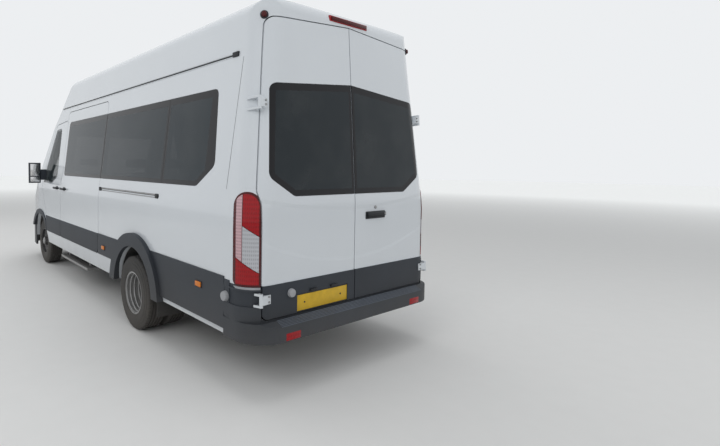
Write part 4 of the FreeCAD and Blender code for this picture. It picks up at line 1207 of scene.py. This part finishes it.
class BUS_OT_front_trim(bpy.types.Operator):
    """Fit the headlamp bowls, grille mesh, fog lamps, blank plate and wipers"""

    bl_idname = "bus.front_trim"
    bl_label = "Front Trim"

    def execute(self, context):
        self.headlamps()
        self.grille()
        self.bumper()
        self.wipers()
        return {"FINISHED"}

    def headlamps(self):
        """A dark housing behind each lens, with two bright bowls, a bulb in each and an amber corner."""
        housing = copy_of("headlamps")
        for vert in housing.verts:
            if any(face.normal.x > 0.3 for face in vert.link_faces):
                vert.co.x -= HOUSING_DEEP
            inward = 1 if abs(vert.co.y) > HOUSING_Y else -1
            vert.co.y -= math.copysign(HOUSING_GAP, vert.co.y) * inward
            vert.co.z += HOUSING_GAP if vert.co.z < HOUSING_Z else -HOUSING_GAP
        piece("headlamp_housings", housing, "trim")
        bowls, bulbs, amber = bmesh.new(), bmesh.new(), bmesh.new()
        for _, sign in SIDES:
            for y, z, radius in LAMP_BOWLS:
                x = self.clear_x(sign * y, z, radius) - 0.010
                outline = ((0, radius), (0, radius - 0.004), (-0.022, radius * 0.78), (-0.040, radius * 0.3),
                           (-0.043, 0.006), (-0.048, 0.006), (-0.046, radius * 0.4), (-0.024, radius))
                add_lathe(bowls, outline, (x, sign * y, z), FORWARD, 48)
                add_rod(bulbs, (x - 0.044, sign * y, z), (x - 0.016, sign * y, z), 0.009, 20, 0.007, 0.002)
            y = sign * INDICATOR_Y
            x = self.clear_x(y, INDICATOR_Z, INDICATOR_RADIUS) - 0.008
            add_rod(amber, (x - 0.030, y, INDICATOR_Z), (x, y, INDICATOR_Z), INDICATOR_RADIUS + 0.001, 32,
                    rounding=0.004)
        piece("headlamp_bowls", bowls, "chrome", "body", "lamp")
        piece("headlamp_bulbs", bulbs, "clear_lens")
        piece("front_indicators", amber, "amber")

    def clear_x(self, y, z, radius):
        """How far forward a disc of this radius can stand and stay behind the lens."""
        around = [(y + radius * math.cos(turn), z + radius * math.sin(turn))
                  for turn in (0, 1.57, 3.14, 4.71)]
        return min(from_ahead("headlamps", *place)[0].x for place in around)

    def grille(self):
        """A fine dark mesh behind the grille's slots, and dark bars in the intake below."""
        mesh = bmesh.new()
        for y in evenly(-0.41, 0.0205, 41):
            add_block(mesh, (3.206, 3.212), about(y, 0.003), (MESH_LOW, MESH_HIGH))
        for z in evenly(0.690, 0.019, 13):
            add_block(mesh, (3.204, 3.210), about(0, MESH_HALF), about(z, 0.002))
        piece("grille_mesh", mesh, "trim")
        intake = bmesh.new()
        for z in evenly(0.345, 0.028, 5):
            add_block(intake, (3.300, 3.318), about(0, 0.430), about(z, 0.004), 0.002)
        for y in evenly(-0.36, 0.12, 7):
            add_block(intake, (3.296, 3.304), about(y, 0.004), (0.326, 0.474))
        piece("intake_bars", intake, "trim")

    def bumper(self):
        """A blank plate, and a fog lamp in its rim on each side."""
        piece("front_plate", blocks(((3.322, 3.327), about(0, 0.260), (0.346, 0.457), 0.0015)), "pale_plate")
        rims, lamps = bmesh.new(), bmesh.new()
        for _, sign in SIDES:
            place, facing = from_ahead("front_bumper", sign * FOG_LAMP_Y, FOG_LAMP_Z)
            add_rod(rims, place - facing * 0.010, place + facing * 0.004, 0.062, 40, 0.058, 0.003)
            add_rod(lamps, place, place + facing * 0.008, 0.046, 40, 0.042, 0.003)
        piece("fog_lamp_rims", rims, "trim")
        piece("fog_lamps", lamps, "clear_lens")

    def wipers(self):
        """Two parked wipers, each an arm from its pivot and a blade that lies on the glass."""
        shape = bmesh.new()
        for pivot, near, far in WIPERS:
            blade = []
            for i in range(BLADE_RUNS + 1):
                share = i / BLADE_RUNS
                level = BLADE_Z + BLADE_BOW * math.sin(share * math.pi)
                place, facing = from_ahead("windscreen", near + (far - near) * share, level)
                blade.append(place + facing * 0.012)
            add_path(shape, blade, 0.006)
            foot, facing = from_ahead("front_frame", pivot, 1.316)
            knee = foot + facing * 0.022
            add_rod(shape, foot - facing * 0.01, knee + facing * 0.006, 0.014, 20, 0.011, 0.002)
            elbow = (blade[3] + knee) / 2 + facing * 0.016
            add_path(shape, [knee, elbow, blade[4] + facing * 0.010], 0.006)
            add_rod(shape, blade[4] + facing * 0.012, blade[4], 0.007, 12)
        piece("wipers", shape, "trim")


class BUS_OT_mirrors(bpy.types.Operator):
    """Set the glass and the side repeater into each door mirror"""

    bl_idname = "bus.mirrors"
    bl_label = "Mirrors"

    def execute(self, context):
        for side, sign in SIDES:
            low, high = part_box(f"mirror_{side}")
            x = (low[0] - 0.0015, low[0] + 0.004)
            across = span(sign, 1.092, 1.218)
            glass = blocks((x, across, (1.392, 1.572), 0.0012), (x, across, (1.304, 1.378), 0.0012))
            piece(f"mirror_glass_{side}", glass, "chrome", f"front_door_{side}", "clear_glass")
            place, facing = from_ahead(f"mirror_{side}", sign * 1.160, 1.44)
            repeater = rods((place - facing * 0.004, place + facing * 0.005, 0.022, 24, 0.018, 0.002))
            piece(f"mirror_repeater_{side}", repeater, "amber", f"front_door_{side}")
        return {"FINISHED"}


# Places of the seats, in metres: rows back from the first, and each seat's middle across the bus
ROW_FIRST, ROW_PITCH, ROW_COUNT = 0.260, 0.740, 5
ROW_PLACES = (-0.690, -0.240, 0.650)
ROW_WIDE, ROW_BASE, ROW_RISE = 0.430, 1.020, 0.620
CAB_SEAT_X, CAB_BASE, CAB_RISE = 1.330, 0.955, 0.700
CAB_SEATS = ((-0.470, 0.500), (0.395, 0.840))

# The back of a seat: how far its foot is above and ahead of the seat's place, and how far its top leans back
BACK_FOOT, BACK_AHEAD, BACK_LEAN = 0.12, 0.008, 0.115
BENCH_WIDE = 0.6
LEG_INSET = 0.075


class BUS_OT_seats(bpy.types.Operator):
    """Upholster the cab and passenger seats, and stand them on their legs and floor tracks"""

    bl_idname = "bus.seats"
    bl_label = "Seats"

    def execute(self, context):
        frames = bmesh.new()
        places = [(x, y) for i, x in enumerate(evenly(ROW_FIRST, -ROW_PITCH, ROW_COUNT))
                  for y in (ROW_PLACES if i else ROW_PLACES[:2])]
        for number, (x, y) in enumerate(places, 1):
            self.seat(f"passenger_seat_{number:02d}", "passenger_seats", x, y, ROW_WIDE, ROW_BASE, ROW_RISE)
            self.legs(frames, x, y, ROW_WIDE, ROW_BASE)
        for name, (y, wide) in zip(("driver_seat", "double_seat"), CAB_SEATS):
            self.seat(name, "front_seats", CAB_SEAT_X, y, wide, CAB_BASE, CAB_RISE)
            self.legs(frames, CAB_SEAT_X, y, wide, CAB_BASE)
        piece("seat_frames", frames, "iron")
        return {"FINISHED"}

    def seat(self, name, node, x, y, wide, base, rise):
        """A bottom cushion, a leaning back and a headrest for each place, as one upholstered piece."""
        shape = bmesh.new()
        half = wide / 2 - 0.008
        add_cushion(shape, (x + 0.236, y, base + 0.060), (0.226, half, 0.062), 0.0, (-0.45, 0.0, 0.45))
        run = rise - BACK_FOOT
        lean = math.radians(90) - math.atan2(BACK_LEAN, run)
        tall = rise * 0.34
        level = 0.125 + tall
        back = x + BACK_AHEAD - BACK_LEAN * (level - BACK_FOOT) / run
        add_cushion(shape, (back, y, base + level), (tall, half, 0.054), lean, (-0.5, 0.0, 0.5))
        level = rise - 0.050
        head = x + BACK_AHEAD - BACK_LEAN * (level - BACK_FOOT) / run
        for place in about(y, wide / 4) if wide > BENCH_WIDE else (y,):
            add_cushion(shape, (head, place, base + level), (0.048, 0.125, 0.042), lean)
        made = piece(name, shape, "cloth", smooth=60)
        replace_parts(made, node)

    def legs(self, shape, x, y, wide, base):
        """Two cross frames under the pan, with feet on a track along the floor."""
        add_block(shape, (x + 0.03, x + 0.44), about(y, wide / 2 - 0.03), (base - 0.024, base + 0.002), 0.006)
        for across in about(y, wide / 2 - LEG_INSET):
            for near, far in ((0.07, 0.10), (0.37, 0.34)):
                add_rod(shape, (x + near, across, FLOOR + 0.012), (x + far, across, base - 0.02), 0.013, 12)
            add_block(shape, (x + 0.045, x + 0.395), about(across, 0.018), (FLOOR, FLOOR + 0.014), 0.003)
            add_rod(shape, (x + 0.10, across, FLOOR + 0.09), (x + 0.34, across, FLOOR + 0.09), 0.009, 10)


# Cab: the vents' places across, the gear lever's line as lengths and heights, and the steering column's place
VENTS = (-0.76, -0.17, 0.09, 0.74)
LEVER_Y, LEVER = -0.120, ((1.975, 1.060), (1.935, 1.130), (1.905, 1.190))
COLUMN_Y = -0.470


class BUS_OT_cab(bpy.types.Operator):
    """Fit the instrument hood, vents, stalks and gear lever"""

    bl_idname = "bus.cab"
    bl_label = "Cab"

    def execute(self, context):
        shape = bmesh.new()
        add_block(shape, (2.030, 2.150), (-0.640, -0.300), (1.262, 1.342), 0.022, 4)
        for y in VENTS:
            for z in evenly(1.178, 0.016, 4):
                slope = (z - 1.12) * 0.6
                add_block(shape, (1.990 + slope, 2.040 + slope), about(y, 0.055), about(z, 0.004), 0.002)
        add_path(shape, [(x, LEVER_Y, z) for x, z in LEVER], 0.011)
        add_rod(shape, (1.905, LEVER_Y, 1.185), (1.898, LEVER_Y, 1.225), 0.020, 24, 0.024, 0.007)
        for sign in (1, -1):
            near, far = COLUMN_Y + sign * 0.025, COLUMN_Y + sign * 0.165
            add_rod(shape, (1.905, near, 1.255), (1.895, far, 1.275), 0.008, 12, 0.010, 0.002)
        piece("cab_controls", shape, "trim")
        return {"FINISHED"}


# Underbody: the spring clamps' places about the axle, the dampers', and the tank straps' line across and up
CLAMP_X, CLAMP_NEAR, CLAMP_FAR = 0.062, 0.476, 0.564
DAMPER_Y = 0.35
STRAPS_X = (0.25, 0.77)
STRAP = ((0.478, 0.66), (0.474, 0.46), (0.51, 0.424), (0.80, 0.424), (0.836, 0.46), (0.834, 0.66))


class BUS_OT_underbody(bpy.types.Operator):
    """Clamp the springs to the axle and fit the dampers and tank straps"""

    bl_idname = "bus.underbody"
    bl_label = "Underbody"

    def execute(self, context):
        shape = bmesh.new()
        low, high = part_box("rear_tyres_left")
        axle_x, axle_z = side_middle(low, high)
        for _, sign in SIDES:
            near, far = sign * CLAMP_NEAR, sign * CLAMP_FAR
            for x in about(axle_x, CLAMP_X):
                for y in (near, far):
                    add_rod(shape, (x, y, axle_z - 0.075), (x, y, axle_z + 0.115), 0.008, 12)
                add_rod(shape, (x, near, axle_z + 0.106), (x, far, axle_z + 0.106), 0.008, 12)
            add_block(shape, about(axle_x, 0.085), span(sign, CLAMP_NEAR - 0.014, CLAMP_FAR + 0.014),
                      (axle_z - 0.072, axle_z - 0.058), 0.003)
            foot = Vector((axle_x + 0.11, sign * DAMPER_Y, axle_z - 0.01))
            head = Vector((axle_x + 0.28, sign * DAMPER_Y, 0.600))
            add_rod(shape, foot, foot.lerp(head, 0.55), 0.026, 24, rounding=0.003)
            add_rod(shape, foot.lerp(head, 0.45), head, 0.020, 24)
        for x in STRAPS_X:
            add_path(shape, [(x, y, z) for y, z in STRAP], 0.006)
        piece("underbody_fittings", shape, "iron")
        return {"FINISHED"}


# The floor's size, and the distances squared over which it fades into the pale horizon
FLOOR_RADIUS, FADE_NEAR, FADE_FAR = 60, 30, 700
HORIZON = (0.42, 0.43, 0.43, 1)

# The world's colour, its light on the object, and how much more the camera, glass and polish see
WORLD_TONE, WORLD_LIGHT, WORLD_SEEN = (0.96, 0.98, 1.0, 1), 0.52, 0.36


class BUS_OT_stage(bpy.types.Operator):
    """Lay the pale floor, hang the soft lights and place the camera"""

    bl_idname = "bus.stage"
    bl_label = "Stage"

    def execute(self, context):
        stage = context.scene.bus_stage
        self.floor(stage)
        # name, place, what it faces, size, power
        lamps = (
            ("key_light", (-5.5, 7.5, 6.5), (0, 0, 1.0), (6, 5), 420),
            ("fill_light", (-9.5, -3.5, 4.0), (-2, 0, 1.2), (5, 4), 200),
            ("front_light", (7.5, 5.0, 5.0), (1, 0, 1.0), (5, 4), 240),
            ("top_light", (0, 0, 7.0), (0, 0, 0), (9, 5), 330),
        )
        for lamp in lamps:
            self.light(*lamp, stage.lamps)
        self.world(context)
        self.camera(context, stage)
        context.scene.view_settings.view_transform = "Standard"
        return {"FINISHED"}

    def floor(self, stage):
        shape = bmesh.new()
        bmesh.ops.create_circle(shape, cap_ends=True, segments=64, radius=FLOOR_RADIUS)
        mesh = bpy.data.meshes.new("floor")
        shape.to_mesh(mesh)
        shape.free()
        finish = Finish("floor_finish", Roughness=0.85, Specular_IOR_Level=0.2, Emission_Strength=1.0)
        mottle = finish.noise(6, 4).ramp(0.3, 0.7)
        x, y = finish.axis("X"), finish.axis("Y")
        seen = Value(finish, finish.node("ShaderNodeLightPath").outputs["Is Camera Ray"])
        far = (x * x + y * y).ramp(FADE_NEAR, FADE_FAR) * seen
        finish.surface(Base_Color=finish.mixed(mottle, stage.floor, shaded(stage.floor, 0.985)),
                       Emission_Color=finish.mixed(far, (0, 0, 0, 1), HORIZON))
        mesh.materials.append(finish.material)
        ground = bpy.data.objects.new("floor", mesh)
        bpy.context.scene.collection.objects.link(ground)

    def light(self, name, place, aim, size, power, strength):
        lamp = bpy.data.lights.new(name, "AREA")
        lamp.shape = "RECTANGLE"
        lamp.size, lamp.size_y = size
        lamp.energy = power * strength
        made = bpy.data.objects.new(name, lamp)
        turn = (Vector(place) - Vector(aim)).to_track_quat("Z", "Y").to_matrix().to_4x4()
        made.matrix_world = Matrix.Translation(place) @ turn
        made.visible_glossy = False
        bpy.context.scene.collection.objects.link(made)

    def world(self, context):
        """White where the camera, glass or polish sees it, and a softer even light on the object."""
        world = bpy.data.worlds.new("studio")
        world.use_nodes = True
        context.scene.world = world
        nodes = Nodes(world.node_tree)
        path = nodes.node("ShaderNodeLightPath").outputs
        seen = Value(nodes, path["Is Camera Ray"])
        for ray in ("Is Glossy Ray", "Is Transmission Ray"):
            seen = seen.largest(Value(nodes, path[ray]))
        back = nodes.tree.nodes["Background"]
        nodes.put(back.inputs["Color"], WORLD_TONE)
        nodes.put(back.inputs["Strength"], seen * WORLD_SEEN + WORLD_LIGHT)

    def camera(self, context, stage):
        data = bpy.data.cameras.new("camera")
        data.lens = stage.lens
        data.shift_x, data.shift_y = stage.shift
        data.clip_end = 200
        level = math.cos(stage.pitch)
        ahead = Vector((math.cos(stage.heading) * level, math.sin(stage.heading) * level,
                        math.sin(stage.pitch)))
        right = Vector((math.sin(stage.heading), -math.cos(stage.heading), 0))
        up = right.cross(ahead)
        right, up = (right * math.cos(stage.roll) + up * math.sin(stage.roll),
                     up * math.cos(stage.roll) - right * math.sin(stage.roll))
        turn = Matrix((right, up, -ahead)).transposed().to_4x4()
        made = bpy.data.objects.new("camera", data)
        made.matrix_world = Matrix.Translation(stage.eye) @ turn
        context.scene.collection.objects.link(made)
        context.scene.camera = made


class BUS_PT_panel(bpy.types.Panel):
    """The steps that dress the minibus"""

    bl_label = "Minibus"
    bl_space_type = "VIEW_3D"
    bl_region_type = "UI"
    bl_category = "Minibus"

    def draw(self, context):
        for step in STEPS:
            self.layout.operator(step.bl_idname)


STEPS = (BUS_OT_finish_frame, BUS_OT_tyres, BUS_OT_wheel_trim, BUS_OT_tail_lamps, BUS_OT_rear_trim,
         BUS_OT_side_trim, BUS_OT_front_trim, BUS_OT_mirrors, BUS_OT_seats, BUS_OT_cab, BUS_OT_underbody,
         BUS_OT_stage)
GROUPS = (("bus_colours", BusColours), ("bus_sizes", BusSizes), ("bus_stage", BusStage))


def register():
    for _, group in GROUPS:
        bpy.utils.register_class(group)
    for step in STEPS:
        bpy.utils.register_class(step)
    bpy.utils.register_class(BUS_PT_panel)
    for name, group in GROUPS:
        setattr(bpy.types.Scene, name, PointerProperty(type=group))


def unregister():
    for name, _ in GROUPS:
        delattr(bpy.types.Scene, name)
    bpy.utils.unregister_class(BUS_PT_panel)
    for step in reversed(STEPS):
        bpy.utils.unregister_class(step)
    for _, group in reversed(GROUPS):
        bpy.utils.unregister_class(group)


def main():
    register()
    for step in STEPS:
        getattr(bpy.ops.bus, step.bl_idname.split(".")[1])()


if __name__ == "__main__":
    main()
